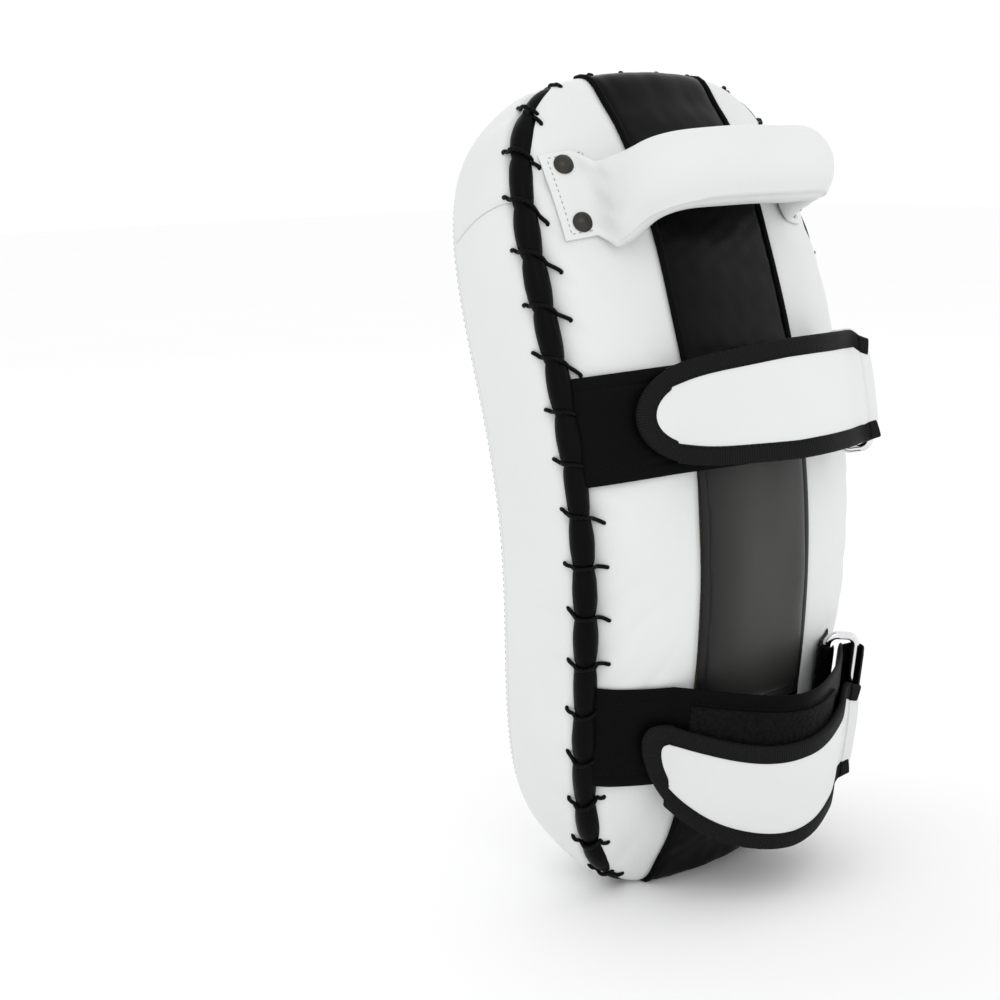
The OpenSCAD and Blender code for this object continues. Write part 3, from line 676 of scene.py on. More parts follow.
sewing = Sewing()
line_u, line_v = edge(np.append(around, around[0]), 1, -1.6)
line = at(line_u, face(line_u, line_v) + seam_dip(1.5) - 0.1, line_v)
stitch_row(sewing, line, at(line_u, -70.0, line_v) - at(line_u, -60.0, line_v), 3.0, 1.3, 0.5)
on_root(sewing.make("front_seam_thread", PALE_THREAD))
print("striking face:", len(striking_face.data.vertices), "points")

# %% [markdown]
# The side wall is a long strip that goes round the pad, and a shorter one closes the handle end, with a
# seam across the wall at each side. Both bulge over the foam between the front seam and the lacing, tuck in
# under the rolled edge, and are puckered by each stitch of the lacing.

# %% Side walls
GUSSET_SEAM = 38.0
END_DIP, END_INSET = 4.0, 2.8


def wall_out(a, depth):
    """How far the wall stands out at edge angle a, at this depth in millimetres below the laced edge."""
    k = depth / SIDE_DEPTH
    start = 5 + END_DIP * over_share(a)
    tuck = (2.4 + END_INSET * over_share(a)) * np.exp(-(((depth - start) / 2.6) ** 2))
    drawn = pucker(a, depth - start - 3, 1.7, 9) + seam_dip(SIDE_DEPTH - depth)
    out = WALL_SWELL * 4 * k * (1 - k) - tuck - drawn
    for seam in (GUSSET_SEAM, 180 - GUSSET_SEAM):
        out = out - seam_dip((share_at(a) - share_at(seam)) * EDGE_LENGTH, 0.8, 1.2)
    return out + 0.3 * ripple(share_at(a) * EDGE_LENGTH, depth, 42, 8) * np.sin(np.pi * np.clip(k, 0, 1))


depths = np.concatenate([np.linspace(5, 24, 28), np.linspace(25.5, 48, 13), np.linspace(49, SIDE_DEPTH, 9)])


def wall(name, start, stop, node):
    count = int((share_at(stop) - share_at(start)) * EDGE_LENGTH / 1.6)
    a = angle_at(np.linspace(share_at(start), share_at(stop), count))[:, None]
    d = depths[None, :]
    sheets = []
    for sink in (0, SKIN):
        u, v = edge(a, d / SIDE_DEPTH, wall_out(a, d) - sink)
        sheets.append(at(u, -d, v, sink))
    return as_pad(on_root(sheet(name, WHITE_LEATHER, "white_leather", *sheets), node))


side_wall = wall("side_wall_leather", 180 - GUSSET_SEAM + 0.05, 360 + GUSSET_SEAM - 0.05, "side_gusset")
top_wall = wall("top_wall_leather", GUSSET_SEAM + 0.05, 180 - GUSSET_SEAM - 0.05, "top_gusset")
print("walls:", len(side_wall.data.vertices) + len(top_wall.data.vertices), "points")

# %% [markdown]
# The strap side is quilted by the way it is held: the lacing pulls every panel down beside the roll, and
# the foam pushes it up again a thumb's width further in. One height function gives that surface, and the
# white panels, the glossy stripe, the piping and the feet of the lacing all use it.

# %% Strap side panels
TUCK_IN, SWELL_OUT, SWELL_AT, BACK_FILL = 6.0, 9.5, 9.5, 0.85
HELD_AT = ((34.0, 30.0), (-105.0, 30.0), (135.0, 27.0))


def free_share(v):
    """1 where the panels are free to swell, and 0 where a strap or a handle tab holds them down."""
    free = 1.0
    for middle, reach in HELD_AT:
        free = free * (1 - np.exp(-(((v - middle) / reach) ** 6)))
    return free


def back_h(u, v):
    """Height of the strap side's leather."""
    a, away = from_edge(u, v)
    over = over_share(a)
    tuck = (2.0 + 5.0 * over) * np.exp(-((np.maximum(away - TUCK_IN, 0) / 3.6) ** 2))
    drawn = pucker(a, away - 8.5, 1.9, 11) * (1 - 0.75 * over)
    swollen = 3.0 * (1 - np.exp(-((np.maximum(away - 8, 0) / 6) ** 1.5))) * np.exp(-((away - 8) / 26) ** 2)
    soft = np.clip((away - 10) / 22, 0, 1)
    uneven = 0.45 * ripple(u, v, 48, 12) * soft
    return crown(u, v) - drawn - tuck + swollen * free_share(v) * (1 - at_ends(a)) + uneven


def back_point(u, v, lift=0.0, sink=0.0):
    """A point on the strap side, with the leather swelling out over the roll where it can."""
    u, v = np.broadcast_arrays(np.asarray(u, float), v)
    a, away = from_edge(u, v)
    out_u, out_v = edge_out(a)
    over = SWELL_OUT * over_share(a) * np.exp(-(((away - SWELL_AT) / 6) ** 2))
    return at(u + out_u * over, back_h(u, v) + lift - sink, v + out_v * over, sink)


def back_sheet(name, material, slot, node, u, v, lift):
    """Leather on the strap side, over this grid of places."""
    made = sheet(name, material, slot, back_point(u, v, lift), back_point(u, v, lift, SKIN))
    return as_pad(on_root(made, node))


def side_panel(name, side, node):
    a = angle_at(np.linspace(share_at(-64.0), share_at(64.0), 300))[:, None]
    c = np.concatenate([np.linspace(0, 0.42, 34), np.linspace(0.44, 1, 24)])[None, :]
    edge_u, edge_v = edge(a, 0, -TUCK_IN)
    stop = STRIPE_HALF + PIPING_R * 0.4
    u = side * (edge_u + c * (stop - edge_u))
    v = edge_v + 0 * c
    valley = -seam_dip(abs(u) - stop, 1.3, 2.6)
    back_sheet(name, WHITE_LEATHER, "white_leather", node, u, v, valley)


side_panel("back_leather_left", -1, "back_panel_left")
side_panel("back_leather_right", 1, "back_panel_right")


def stripe_end(u, end):
    """Where the stripe goes under the roll, at one end of the pad."""
    return end * (HALF_L - TUCK_IN) * (1 - (abs(u) / (HALF_W - TUCK_IN)) ** CORNER) ** (1 / CORNER)


def stripe(name, start, end, node):
    u = np.linspace(-STRIPE_HALF, STRIPE_HALF, 61)[None, :]
    r = np.linspace(0, 1, 150)[:, None]
    v = start + r * (stripe_end(u, end) - start)
    creases = 0.3 * ripple(u * 0.35, v, 24, 21) + 0.12 * ripple(u * 0.6, v, 9, 22)
    lift = creases - seam_dip(STRIPE_HALF - abs(u), 1.2, 2.2) + 0.4
    back_sheet(name, GLOSS_LEATHER, "gloss_black_leather", node, u, v, lift)


stripe("centre_leather_top", PAD_TOP - 3, 1, "centre_panel_top")
stripe("centre_leather_bottom", PAD_BOTTOM + 3, -1, "centre_panel_bottom")

sewing = Sewing()
for side in (-1, 1):
    for start, end in ((PAD_TOP, 1), (PAD_BOTTOM, -1)):
        v = np.linspace(start, stripe_end(STRIPE_HALF, end), 90)
        u = np.full(len(v), side * STRIPE_HALF)
        sewing.tube(tube_rings(back_point(u, v, PIPING_R - 0.2, PIPING_R), PIPING_R * MM, 10))
on_root(sewing.make("centre_piping_cord", BLACK_LEATHER), "centre_piping")
print("strap side panels and piping made")

# %% [markdown]
# The forearm lies on a softer, matt cushion. It is a small pillow with a flat sewn margin: the margin stays
# down on the panels, the stitching sinks in, and the leather rises from it to a full, gently uneven top.

# %% Forearm cushion
PAD_MIDDLE, HEM = (PAD_TOP + PAD_BOTTOM) / 2, 4.5
PAD_WIDE, PAD_LONG = STRIPE_HALF + 0.6, (PAD_TOP - PAD_BOTTOM) / 2 + 0.6


def to_hem(u, v):
    """Distance in from the cushion's edge."""
    return np.minimum(PAD_WIDE - abs(u), PAD_LONG - abs(v - PAD_MIDDLE))


def cushion_h(u, v):
    away = to_hem(u, v)
    loft = PAD_LOFT * (1 - np.exp(-np.maximum(away - HEM, 0) / 5.0)) ** 0.8
    hem = 0.5 * np.sin(np.pi * np.clip(away / HEM, 0, 1)) ** 0.7
    uneven = 0.35 * ripple(u, v, 30, 31) * (away > HEM)
    return crown(u, v) + 0.8 + loft + hem - seam_dip(away - HEM, 0.5, 0.8) + uneven


def uneven_steps(half, count):
    t = np.linspace(-1, 1, count)
    return half * np.sign(t) * (1 - (1 - abs(t)) ** 1.5)


u = uneven_steps(PAD_WIDE, 71)[None, :]
v = PAD_MIDDLE + uneven_steps(PAD_LONG, 121)[:, None]
u, v = np.broadcast_arrays(u, v)
top, bottom = at(u, cushion_h(u, v), v), at(u, crown(u, v) - 0.6, v)
cushion = sheet("forearm_cushion", SOFT_LEATHER, "forearm_leather", top, bottom)
as_pad(on_root(cushion, "forearm_pad_cover"))
u, v = u[8:-8, 6:-6], v[8:-8, 6:-6]
top, bottom = at(u, cushion_h(u, v) - 0.5, v), at(u, crown(u, v) + 0.3, v)
on_root(sheet("forearm_foam", FOAM, "foam", top, bottom), "forearm_pad_foam")
sewing = Sewing()
inset_u, inset_v = PAD_WIDE - HEM, PAD_LONG - HEM
for side in (-1, 1):
    up_side = (np.full(80, side * inset_u), PAD_MIDDLE + np.linspace(-inset_v, inset_v, 80))
    over_end = (np.linspace(-inset_u, inset_u, 50), np.full(50, PAD_MIDDLE + side * inset_v))
    for u, v in (up_side, over_end):
        stitch_row(sewing, at(u, cushion_h(u, v), v), upward(u, v))
on_root(sewing.make("cushion_thread", DARK_THREAD))
print("forearm cushion made")

# %% [markdown]
# A strip of black leather is rolled over the cut edges of wall and panels, and the lacing bites into it at
# every stitch. A plain torus would miss that, so the roll's radius swells and pinches once per stitch.

# %% Rolled edge
PINCHED_R, PUFFED_R = 4.2, 5.6
count = STITCHES * 14
share = np.arange(count) / count
a = angle_at(share)
edge_u, edge_v = edge(a, 0, -ROLL_INSET - END_INSET * over_share(a))
out_u, out_v = edge_out(a)
roll_h = (ROLL_RISE - END_DIP * over_share(a))[:, None]
phase = share * STITCHES - 0.5
plump = np.abs(np.sin(np.pi * phase)) ** 0.6
q = np.linspace(0, 2 * np.pi, 24, endpoint=False)[None, :]
fold = 0.16 * np.sin(9 * q + 3 * ripple(share * EDGE_LENGTH, 0, 18, 4)[:, None]) * (1 - 0.6 * plump)[:, None]
uneven = 0.35 * ripple(share * EDGE_LENGTH, 0, 33, 6)
r = (PINCHED_R + (PUFFED_R + uneven - PINCHED_R) * plump)[:, None] + fold
roll_points = at(
    edge_u[:, None] + out_u[:, None] * r * np.cos(q),
    roll_h + r * np.sin(q),
    edge_v[:, None] + out_v[:, None] * r * np.cos(q),
)
sewing = Sewing()
sewing.tube(roll_points, hoop=True)
roll = on_root(sewing.make("rolled_edge", ROLL_LEATHER, 80), "edge_roll")
print("rolled edge:", len(roll.data.vertices), "points")

# %% [markdown]
# The lacing is one waxed cord that whips over the roll. Each stitch comes out of the wall, slants over the
# roll and dives into the panel beside it, so its two feet point different ways. Every stitch is a smooth
# line through a few points, given by their distance out from the edge, height and place along the edge.

# %% Lacing
LACE_R, WALL_FOOT, FOOT_TUCK = 0.95, 9.2, 4.0


def lace_point(share, out, h, along, on_panel=0):
    """A point of a stitch. On the panel its height is measured from the leather there."""
    a = angle_at(share + along / EDGE_LENGTH)
    u, v = edge(a, 0, out - END_INSET * over_share(a) * (1 - on_panel))
    if on_panel:
        return back_point(u, v, h + LACE_R + 0.1, LACE_R + 0.1)
    return at(u, h - END_DIP * over_share(a), v, LACE_R + 0.1)


def over_roll(q, grow=0.1):
    reach = PINCHED_R + LACE_R + grow
    return -ROLL_INSET + reach * math.cos(math.radians(q)), ROLL_RISE + reach * math.sin(math.radians(q))


sewing = Sewing()
for n in range(STITCHES):
    share = (n + 0.5) / STITCHES
    slant = 2.3 + 0.9 * math.sin(n * 2.4)
    over = over_share(angle_at(share))
    under = FOOT_TUCK * over
    foot = float(wall_out(angle_at(share), WALL_FOOT + END_DIP * over)) + LACE_R * 0.7
    route = [
        lace_point(share, foot - 2.4, -WALL_FOOT - 1.6, -slant * 1.5),
        lace_point(share, foot, -WALL_FOOT - 0.6, -slant * 1.3),
        lace_point(share, foot + 0.5, -WALL_FOOT + 1.4, -slant),
        lace_point(share, *over_roll(-35), -slant * 0.5),
        lace_point(share, *over_roll(5), -slant * 0.2),
        lace_point(share, *over_roll(50), 0.0),
        lace_point(share, *over_roll(95), slant * 0.2),
        lace_point(share, *over_roll(135, 0.3), slant * 0.5),
        lace_point(share, -10.0 + under, LACE_R + 0.3, slant, 1),
        lace_point(share, -11.6 + under, LACE_R * 0.7, slant * 1.5, 1),
        lace_point(share, -12.4 + under, -1.8, slant * 1.6, 1),
    ]
    sewing.tube(tube_rings(smooth_line(np.array(route), 5), LACE_R * MM, 8))
on_root(sewing.make("lacing_cord", CORD, 80), "edge_lace")
print("lacing:", STITCHES, "stitches")

# %% [markdown]
# The handle is one leather tube, stuffed round a rope. At each end it goes flat into a tab, which is
# stitched and riveted to the side panel. Here it is one skin whose section changes from a flat strip to a
# round tube along its way, so leather runs on without a break, with folds where the tube stands up.

# %% Handle
GRIP_V, GRIP_R, GRIP_H, GRIP_SPAN, GRIP_FOOT = 135.0, 16.5, 60.0, 54.0, 28.0
GRIP_SAG, FOOT_SAG = 5.0, 7.5


def grip_line(q):
    s = math.sin(math.radians(q))
    b = 9 + (GRIP_R - 9) * s**0.6
    return [-GRIP_SPAN * math.cos(math.radians(q)), GRIP_FOOT + (GRIP_H - GRIP_FOOT) * s, b, GRIP_R, 2.0]


def tab_station(u, lift, half_thick, half_wide, power):
    return [-u, float(crown(np.array(u), GRIP_V)) + lift, half_thick, half_wide, power]


foot = [
    tab_station(78.0, 1.3, 0.9, 19.4, 9.0),
    tab_station(77.4, 1.3, 1.0, 19.5, 9.0),
    tab_station(72.0, 1.3, 1.0, 19.5, 9.0),
    tab_station(66.5, 1.35, 1.05, 19.4, 8.0),
    tab_station(62.5, 2.6, 2.2, 19.2, 5.0),
    tab_station(59.0, 6.4, 5.2, 18.8, 3.0),
    tab_station(56.4, 12.5, 8.8, 18.0, 2.3),
    [-54.4, 31.0, 10.8, 17.2, 2.05],
]
rise = [grip_line(q) for q in (15, 24, 35, 47, 61, 75)]
half_way = np.array(foot + rise)
mirrored = half_way[::-1] * np.array([-1, 1, 1, 1, 1])
stations = smooth_line(np.vstack([half_way, [grip_line(90)], mirrored]), 7)
path = stations[:, :2]
tangent = unit(np.gradient(path, axis=0))
q = np.linspace(0, 2 * np.pi, 64, endpoint=False)[None, :]
power = 2 / stations[:, 4][:, None]
high_side = np.sign(np.cos(q)) * np.abs(np.cos(q)) ** power
wide_side = np.sign(np.sin(q)) * np.abs(np.sin(q)) ** power
run = measured(np.hypot(*np.diff(path, axis=0).T))
to_end = np.minimum(run, run[-1] - run)[:, None]
fold_place = np.exp(-(((to_end - 24) / 9) ** 2))
folds = 0.9 * fold_place * np.sin(wide_side * 9 + 1.5 * ripple(to_end, 0, 12, 41)) * np.maximum(np.cos(q), 0)
stuffed = np.clip((to_end - 22) / 12, 0, 1)
lumps = 0.35 * ripple(run[:, None], q * GRIP_R, 26, 42) * stuffed
ridge_at = 2 * np.pi - 1.05
ridge = seam_dip(q - ridge_at, 0.9, 0.055) - seam_dip(q - ridge_at + 0.13, 0.5, 0.07)
ridge = ridge * stuffed
thick = stations[:, 2][:, None] + folds + lumps + ridge
wide = stations[:, 3][:, None] + lumps + ridge
hang = GRIP_SAG * np.clip(1 - (path[:, 0] / 57) ** 2, 0, 1)[:, None]
foot_sag = FOOT_SAG * np.clip((to_end - 15) / 8, 0, 1) * np.exp(-(((to_end - 24) / 22) ** 2))
hang = hang + foot_sag * (path[:, 0] < 0)[:, None]
on_tab = np.clip((24 - to_end) / 8, 0, 1)


def grip_rings(thick, wide, rows=slice(None)):
    """Rings of points round the grip's line, this far out across and along the pad."""
    across = (thick * high_side)[rows]
    v = (GRIP_V - hang + wide * wide_side)[rows]
    u, h = path[rows, 0][:, None], path[rows, 1][:, None]
    along_u, along_h = tangent[rows, 0][:, None], tangent[rows, 1][:, None]
    follow = on_tab[rows] * (crown(u + 0 * v, v) - crown(u + 0 * v, GRIP_V))
    return at(u - along_h * across, h + along_u * across + follow, v)


grip_points = grip_rings(thick, wide)
sewing = Sewing()
sewing.tube(grip_points)
handle = sewing.make("handle_leather", WHITE_LEATHER, 60)
as_pad(handle)
at(0, 17, GRIP_V)
at(0, 33, GRIP_V)
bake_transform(handle)
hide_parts("handle_tab_left", "handle_tab_right", "handle_grip_cover")

STUFFED_FROM, GRIP_SKIN, ROPE_SHARE = 40.0, 2.4, 0.38
rows = to_end[:, 0] > STUFFED_FROM
for name, trim, share, material, slot, node in (
    ("grip_stuffing", GRIP_SKIN, 1.0, FOAM, "foam", "handle_grip_foam"),
    ("grip_rope", 0.0, ROPE_SHARE, ROPE, "rope", "handle_rope"),
):
    half_thick, half_wide = ((stations[:, n][:, None] - trim) * share for n in (2, 3))
    sewing = Sewing()
    sewing.tube(grip_rings(half_thick, half_wide, rows))
    on_body("handle", sewing.make(name, material), node)

sewing = Sewing()
for side in (-1, 1):
    corners = [(75.6, -17.2), (75.6, 17.2), (62.0, 17.2), (62.0, -17.2), (75.6, -17.2)]
    for (u0, v0), (u1, v1) in zip(corners[:-1], corners[1:]):
        u = side * np.linspace(u0, u1, 30)
        v = GRIP_V + np.linspace(v0, v1, 30)
        lift = 2.42 + 0.5 * np.maximum(66 - abs(u), 0)
        stitch_row(sewing, at(u, crown(u, v) + lift, v), upward(u, v), 2.7, 1.7, 0.55)
on_root(sewing.make("tab_thread", PALE_THREAD))
print("handle:", len(handle.data.vertices), "points")

# %% [markdown]
# Each forearm strap is made of webbing covered in leather. Its band is sewn down at the left, arches over
# the forearm and ends at a wire ring, where it turns round the ring's outer bar and comes back as the
# padded flap that holds by hook and loop. Everything on one strap is placed from the strap's own line.

# %% The line of a strap
BAND_T, SIT, FOLD_IN, LIFT_OFF = 2.6, 0.9, 3.8, -50.0
WIDTH, BINDING_W, TIP_RUN = 48.0, 8.5, 40.0
FLAP_LOW = BAND_T / 2 + 3
SHIFT_AT_RING, SHIFT_AT_TIP, DROOP, LIFT_UPPER = -20, 16, 8.5, 2.0
FACE_LOW, FACE_HIGH = FLAP_LOW + 1.1, FLAP_LOW + 2.4


class Strap:
    """Where one strap runs: heights above the band's middle, and widths from its own line."""

    def __init__(self, name, v, outer, inner, arch, tip, askew):
        self.name, self.v, self.outer, self.inner, self.arch, self.tip = name, v, outer, inner, arch, tip
        self.askew = askew
        rise = (at(0, 1, v) - at(0, 0, v)) / MM
        self.along = -np.cross([1, 0, 0], rise) / np.linalg.norm(rise)
        self.end = (outer[0] - 5.8, outer[1] - 4.5)

    def point(self, u, h, w):
        u, h, w = np.broadcast_arrays(np.asarray(u, float), h, w)
        return at(u, h, self.v) + w[..., None] * self.along * MM

    def band_h(self, u):
        u = np.asarray(u, float)
        low = crown(np.array(LIFT_OFF), self.v) + SIT + BAND_T / 2
        r = (u - LIFT_OFF) / (self.end[0] - LIFT_OFF)
        c = np.clip(r, 0, 1)
        arch = self.arch * np.sin(np.pi * c) * (1 + 0.12 * np.sin(2 * np.pi * c))
        arched = low + (self.end[1] - low) * r + arch
        return np.where(u < LIFT_OFF, crown(u, self.v) + SIT + BAND_T / 2, arched)

    def slope(self, u):
        return self.band_h(u + 0.5) - self.band_h(u - 0.5)

    def band(self, u, off, w):
        s = self.slope(u)
        n = np.sqrt(1 + s * s)
        return self.point(u - off * s / n, self.band_h(u) + off / n, w)

    def flap_middle(self, u):
        """How far the flap's middle is moved along the pad. The lower flap lies askew and droops."""
        if not self.askew:
            return LIFT_UPPER * np.clip((self.outer[0] - u) / 12, 0, 1)
        back = np.clip((20 - u) / (20 - self.tip), 0, 1) ** 2
        return SHIFT_AT_TIP * back + SHIFT_AT_RING - DROOP * np.exp(-(((u - self.tip - 36) / 36) ** 2))

    def flap(self, x, off, w):
        """A point of the flap: x runs from the tip to the ring's outer bar, and then round it."""
        x, off, w = np.broadcast_arrays(np.asarray(x, float), off, w)
        u = np.minimum(x, self.outer[0])
        s = self.slope(u)
        n = np.sqrt(1 + s * s)
        ease = (np.maximum(0, u - 30) / (self.outer[0] - 30)) ** 2
        reach = FOLD_IN + 0.3 + off - FLAP_LOW
        turn = np.maximum(x - self.outer[0], 0) / (FOLD_IN + 1.5)
        band_h = self.band_h(np.minimum(u, self.end[0]))
        along_u = (u - off * s / n) * (1 - ease) + u * ease + reach * np.sin(turn)
        height = (band_h + off / n) * (1 - ease) + (self.outer[1] + reach * np.cos(turn)) * ease
        return self.point(along_u, height, w + self.flap_middle(x))


STRAPS = (
    Strap("upper", 34.0, (71, 31.5), (64.3, 18.5), 28.0, -67.0, 0),
    Strap("lower", -105.0, (67, 28.5), (54.9, 20.3), 34.0, -64.0, 1),
)
for strap in STRAPS:
    low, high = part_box(strap.name + "_flap_face")
    tip = strap.flap(strap.tip + BINDING_W, FACE_HIGH, 0)
    print(strap.name, "flap's low x, CAD and here:", round(low.x, 4), round(float(tip[0]), 4))

# %% [markdown]
# Straps are strips with soft rounded edges, a stitched line inside each edge and a little loft between the
# lines. One cross-section, swept along a line, makes them all: band, ring holder and the turn at the ring.

# %% Bands, ring holders and turns
def strip_section(half_w, half_t, margin=3.2, dent=0.35, loft=0.35):
    """A closed cross-section as (w, off): up one face and back along the other."""
    t = np.linspace(-1, 1, 57)
    w = half_w * np.sign(t) * (1 - (1 - abs(t)) ** 1.6)
    x = abs(w) / half_w
    rounded = (1 - x**14) ** 0.5
    line = seam_dip(abs(w) - (half_w - margin), dent, 0.7)
    top = half_t * rounded - line * rounded + loft * np.clip(1 - (w / (half_w - margin)) ** 2, 0, 1)
    return np.concatenate([np.stack([w, top], -1), np.stack([w, -half_t * rounded], -1)[1:-1][::-1]])


def swept(strap, path, section, name, material):
    """A strip along a line of (u, h) points, with its face on the line's left."""
    t = unit(np.gradient(path, axis=0))
    w, off = section[:, 0][None, :], section[:, 1][None, :]
    points = strap.point(
        path[:, 0][:, None] - t[:, 1][:, None] * off, path[:, 1][:, None] + t[:, 0][:, None] * off, w
    )
    sewing = Sewing()
    sewing.tube(points)
    return sewing.make(name, material, 50)


def band_thread(strap, path):
    """Stitches along both edges of a band."""
    t, height = unit(np.gradient(path, axis=0)), BAND_T / 2 - 0.25
    sewing = Sewing()
    for side in (-1, 1):
        w = np.full(len(path), side * (WIDTH / 2 - BAND_HEM))
        line = strap.point(path[:, 0] - t[:, 1] * height, path[:, 1] + t[:, 0] * height, w)
        above = strap.point(path[:, 0] - t[:, 1] * 9, path[:, 1] + t[:, 0] * 9, w)
        stitch_row(sewing, line, above - line, 3.2, 2.2, 0.5)
    return sewing.make(strap.name + "_band_thread", DARK_THREAD)


TAB_T, TAB_HALF, WIRE_R, BAND_HEM = 1.7, WIDTH / 2 - 1, 2.0, 6.5
for strap in STRAPS:
    start = -(half_at(strap.v) - 4.0)
    u = np.concatenate([np.linspace(start, LIFT_OFF, 24), np.linspace(LIFT_OFF, strap.end[0], 110)[1:]])
    band_path = np.stack([u, strap.band_h(u)], -1)
    band_path[:24, 1] -= 2.2 * np.clip((start + 9 - u[:24]) / 9, 0, 1)
    section = strip_section(WIDTH / 2, BAND_T / 2, BAND_HEM)
    band = swept(strap, band_path, section, strap.name + "_band", BLACK_LEATHER)
    on_root(band, strap.name + "_strap_band")
    on_root(band_thread(strap, band_path))

    u = np.linspace(-44, 28, 60)[:, None]
    w = np.linspace(-16, 16, 21)[None, :]
    pile, back_side = strap.band(u, BAND_T / 2 + 1.35, w), strap.band(u, BAND_T / 2 + 0.1, w)
    loops = sheet(strap.name + "_loop_tape", LOOPS, "loop_tape", pile, back_side)
    on_root(loops, strap.name + "_loop_patch")

    edge_u = half_at(strap.v - TAB_HALF) - 8.5
    foot_u = np.linspace(edge_u, strap.inner[0] + 3, 14)
    foot_h = crown(foot_u, strap.v) + SIT + TAB_T / 2 - 1.6 * np.clip((foot_u - edge_u + 5) / 5, 0, 1)
    q = np.radians(np.linspace(-75, -320, 40))
    reach = WIRE_R + 0.35 + TAB_T / 2
    loop_line = np.stack([strap.inner[0] + reach * np.cos(q), strap.inner[1] + reach * np.sin(q)], -1)
    holder_path = np.vstack([np.stack([foot_u, foot_h], -1), loop_line])
    section = strip_section(TAB_HALF, TAB_T / 2, 2.8, 0.25, 0.1) * np.array([1, -1])
    holder = swept(strap, holder_path, section, strap.name + "_ring_holder", BLACK_LEATHER)
    on_root(holder, strap.name + "_ring_tab")

    band_tail = band_path[-10::3] - np.array([0, 0.2])
    q = np.radians(np.linspace(-98, 90, 34))
    reach = FOLD_IN + 0.55
    turn_line = np.stack([strap.outer[0] + reach * np.cos(q), strap.outer[1] + reach * np.sin(q)], -1)
    turn_path = smooth_line(np.vstack([band_tail, turn_line[::3]]), 4)
    section = strip_section(WIDTH / 2 - 1.2, 0.55, 2.6, 0.1, 0.0) * np.array([1, -1])
    turn = swept(strap, turn_path, section, strap.name + "_ring_turn", BLACK_LEATHER)
    bar = strap.point(strap.outer[0], strap.outer[1], 0)
    lean_dir = strap.point(strap.outer[0] + 0.3, strap.outer[1] + 1, 0) - bar
    bar - lean_dir * 3.9
    bar + lean_dir * 3.9
    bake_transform(turn)
    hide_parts(strap.name + "_strap_fold")
print("bands, ring holders and turns made")

# %% [markdown]
# The flap is a sandwich: white leather over a thin foam, a black lining with the hook tape on it, and a
# ribbed tape bound round all its free edges. Its outline is a strip with a long rounded tip, and the tape
# is swept along that outline at a constant width, which is why the white part ends in a rounder shape.

# %% Flaps
FLARE, FLAP_WRAP = 3.0, 0.5
TAPE_IN = np.array([1.0, 0.97, 0.8, 0.6, 0.4, 0.25])
TAPE_HIGH = np.array([0.55, 0.85, 1.0, 1.05, 1.05, 1.02])


def flap_outline(strap, inset):
    """The flap's edge as (x, w), from the ring round the tip and back, drawn in by inset."""
    reach, half = TIP_RUN, WIDTH / 2
    q = np.linspace(-np.pi / 2, np.pi / 2, 80)
    x = strap.tip + reach * (1 - np.cos(q) ** 0.8)
    w = half * np.sin(q) + strap.askew * 7 * np.cos(q) ** 2
    far = strap.outer[0] + FLAP_WRAP
    side = np.linspace(far, strap.tip + reach + 2, 90)
    line = np.vstack([
        np.stack([side, np.full(90, -half)], -1),
        np.stack([x, w], -1),
        np.stack([side[::-1], np.full(90, half)], -1),
    ])
    grown = FLARE * np.clip((line[:, 0] - strap.tip - reach * 0.5) / 40, 0, 1)
    grown = grown * np.clip((strap.outer[0] - line[:, 0]) / 10, 0, 1)
    line[:, 1] += np.sign(line[:, 1]) * grown
    run = measured(np.hypot(*np.diff(line, axis=0).T))
    even = np.linspace(0, run[-1], 420)
    line = np.stack([np.interp(even, run, line[:, n]) for n in (0, 1)], -1)
    for _ in range(3):
        line[1:-1] = (line[:-2] + 2 * line[1:-1] + line[2:]) / 4
    t = unit(np.gradient(line, axis=0))
    return line + inset * np.stack([t[:, 1], -t[:, 0]], -1)


def flap_sheet(strap, low, high, name, material, slot, loft=0.0):
    """A sheet whose edge lies under the binding, from across it at every station."""
    line = flap_outline(strap, BINDING_W - 1.5)
    middle = len(line) // 2
    lower, upper = line[:middle][::-1], line[middle:]
    rows = np.linspace(0, 1, 110) ** 1.5
    far = strap.outer[0] + FLAP_WRAP
    x = lower[0, 0] + 0.05 + (far - lower[0, 0] - 0.05) * rows
    w0 = np.interp(x, lower[:, 0], lower[:, 1])
    w1 = np.interp(x, upper[:, 0], upper[:, 1])
    c = np.linspace(0, 1, 37)[None, :]
    w = w0[:, None] + (w1 - w0)[:, None] * c
    x = x[:, None] + 0 * c
    rim = np.minimum(np.minimum(w - w0[:, None], w1[:, None] - w), x - lower[0, 0])
    puff = loft * (1 - np.exp(-np.maximum(rim, 0) / 5)) + (loft > 0) * 0.15 * ripple(x, w, 30, 51)
    return sheet(name, material, slot, strap.flap(x, high + puff, w), strap.flap(x, low, w))


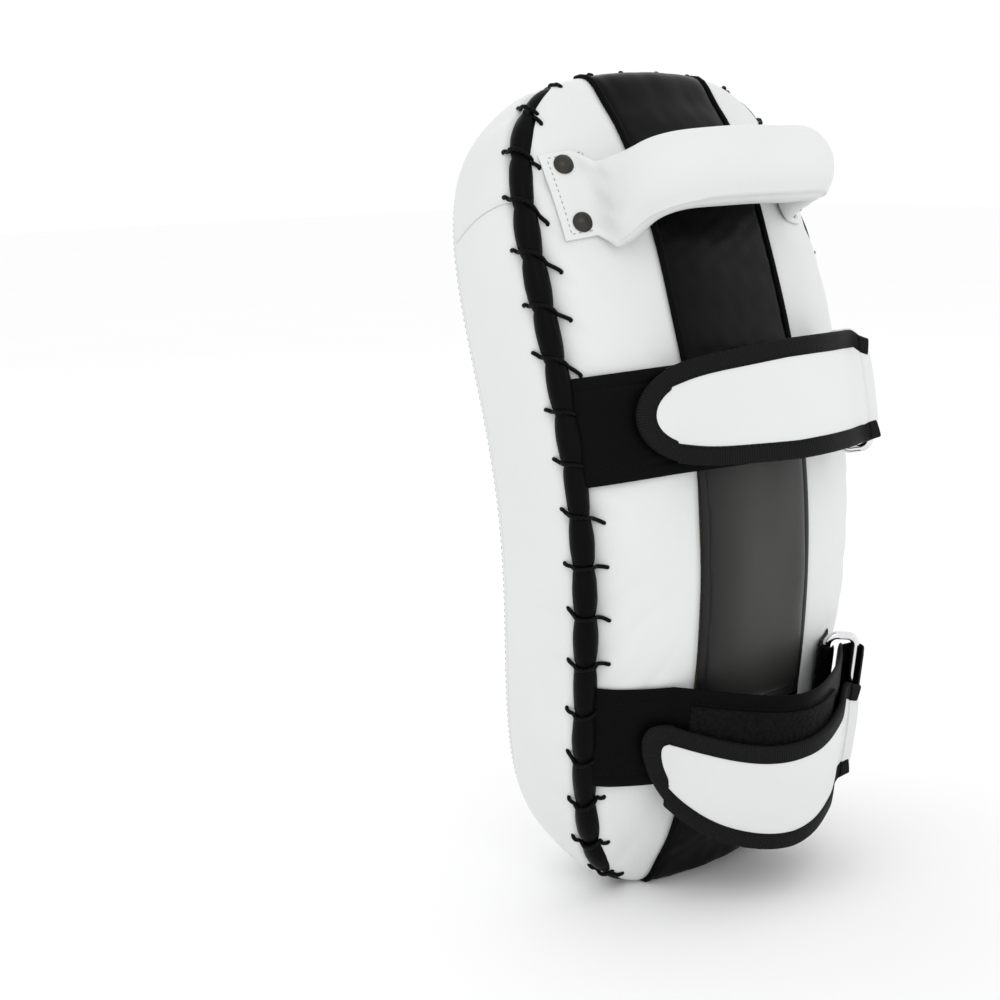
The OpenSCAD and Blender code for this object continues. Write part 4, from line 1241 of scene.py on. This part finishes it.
for strap in STRAPS:
    body = strap.name + "_flap"
    name = strap.name + "_flap_leather"
    leather_face = flap_sheet(strap, FACE_LOW, FACE_HIGH - 0.4, name, WHITE_LEATHER, "white_leather", 0.9)
    name = strap.name + "_flap_back"
    lining = flap_sheet(strap, FLAP_LOW + 0.1, FACE_LOW - 0.2, name, LINING, "nylon_lining")
    as_pad(on_body(body, leather_face, strap.name + "_flap_face"))
    on_body(body, lining, strap.name + "_flap_lining")

    outer_line, inner_line = flap_outline(strap, 0), flap_outline(strap, BINDING_W)
    half_t = (FACE_HIGH + 0.5 - (FLAP_LOW - 0.5)) / 2
    middle = (FACE_HIGH + FLAP_LOW) / 2
    q = np.linspace(-np.pi / 2, np.pi / 2, 9)
    inward = np.concatenate([TAPE_IN, 0.16 * (1 - np.cos(q)), TAPE_IN[::-1]])
    height = np.concatenate([TAPE_HIGH, -np.sin(q), -TAPE_HIGH[::-1]])
    x = outer_line[:, 0][:, None] * (1 - inward) + inner_line[:, 0][:, None] * inward
    w = outer_line[:, 1][:, None] * (1 - inward) + inner_line[:, 1][:, None] * inward
    sewing = Sewing()
    sewing.tube(strap.flap(x, middle + half_t * height, w))
    binding = sewing.make(strap.name + "_flap_tape", BINDING, 60)
    on_body(body, binding, strap.name + "_flap_binding")

    line = flap_outline(strap, BINDING_W - 1.1)
    row = strap.flap(line[:, 0], middle + half_t * 0.98, line[:, 1])
    sewing = Sewing()
    stitch_row(sewing, row, strap.flap(line[:, 0], 20, line[:, 1]) - row, 3.0, 2.0, 0.5)
    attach(sewing.make(strap.name + "_flap_thread", DARK_THREAD), body)

    x = np.linspace(strap.tip + 15, 16, 70)[:, None]
    w = np.linspace(-13.5, 13.5, 19)[None, :]
    back_side, pile = strap.flap(x, FLAP_LOW + 0.2, w), strap.flap(x, FLAP_LOW - 1.2, w)
    hooks = sheet(strap.name + "_hook_tape", HOOKS, "hook_tape", back_side, pile)
    on_body(body, hooks, strap.name + "_hook_patch")
print("flaps made")

# %% [markdown]
# Rings, rivets and washers are hard parts whose CAD shapes are already right, so they stay and only get
# their finish. The core's foam layers stay too: the leather covers them, but an opened pad shows them.

# %% Parts kept from the frame
KEPT = {
    "upper_ring": CHROME,
    "lower_ring": CHROME,
    "handle_rivets": GUNMETAL,
    "handle_rivet_washers": STEEL,
    "striking_foam": FOAM,
    "middle_foam": FOAM,
    "backing_foam": FOAM,
}
for node, material in KEPT.items():
    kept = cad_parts[node]
    kept.data.materials.clear()
    kept.data.materials.append(material)
print("kept from the frame:", ", ".join(KEPT))
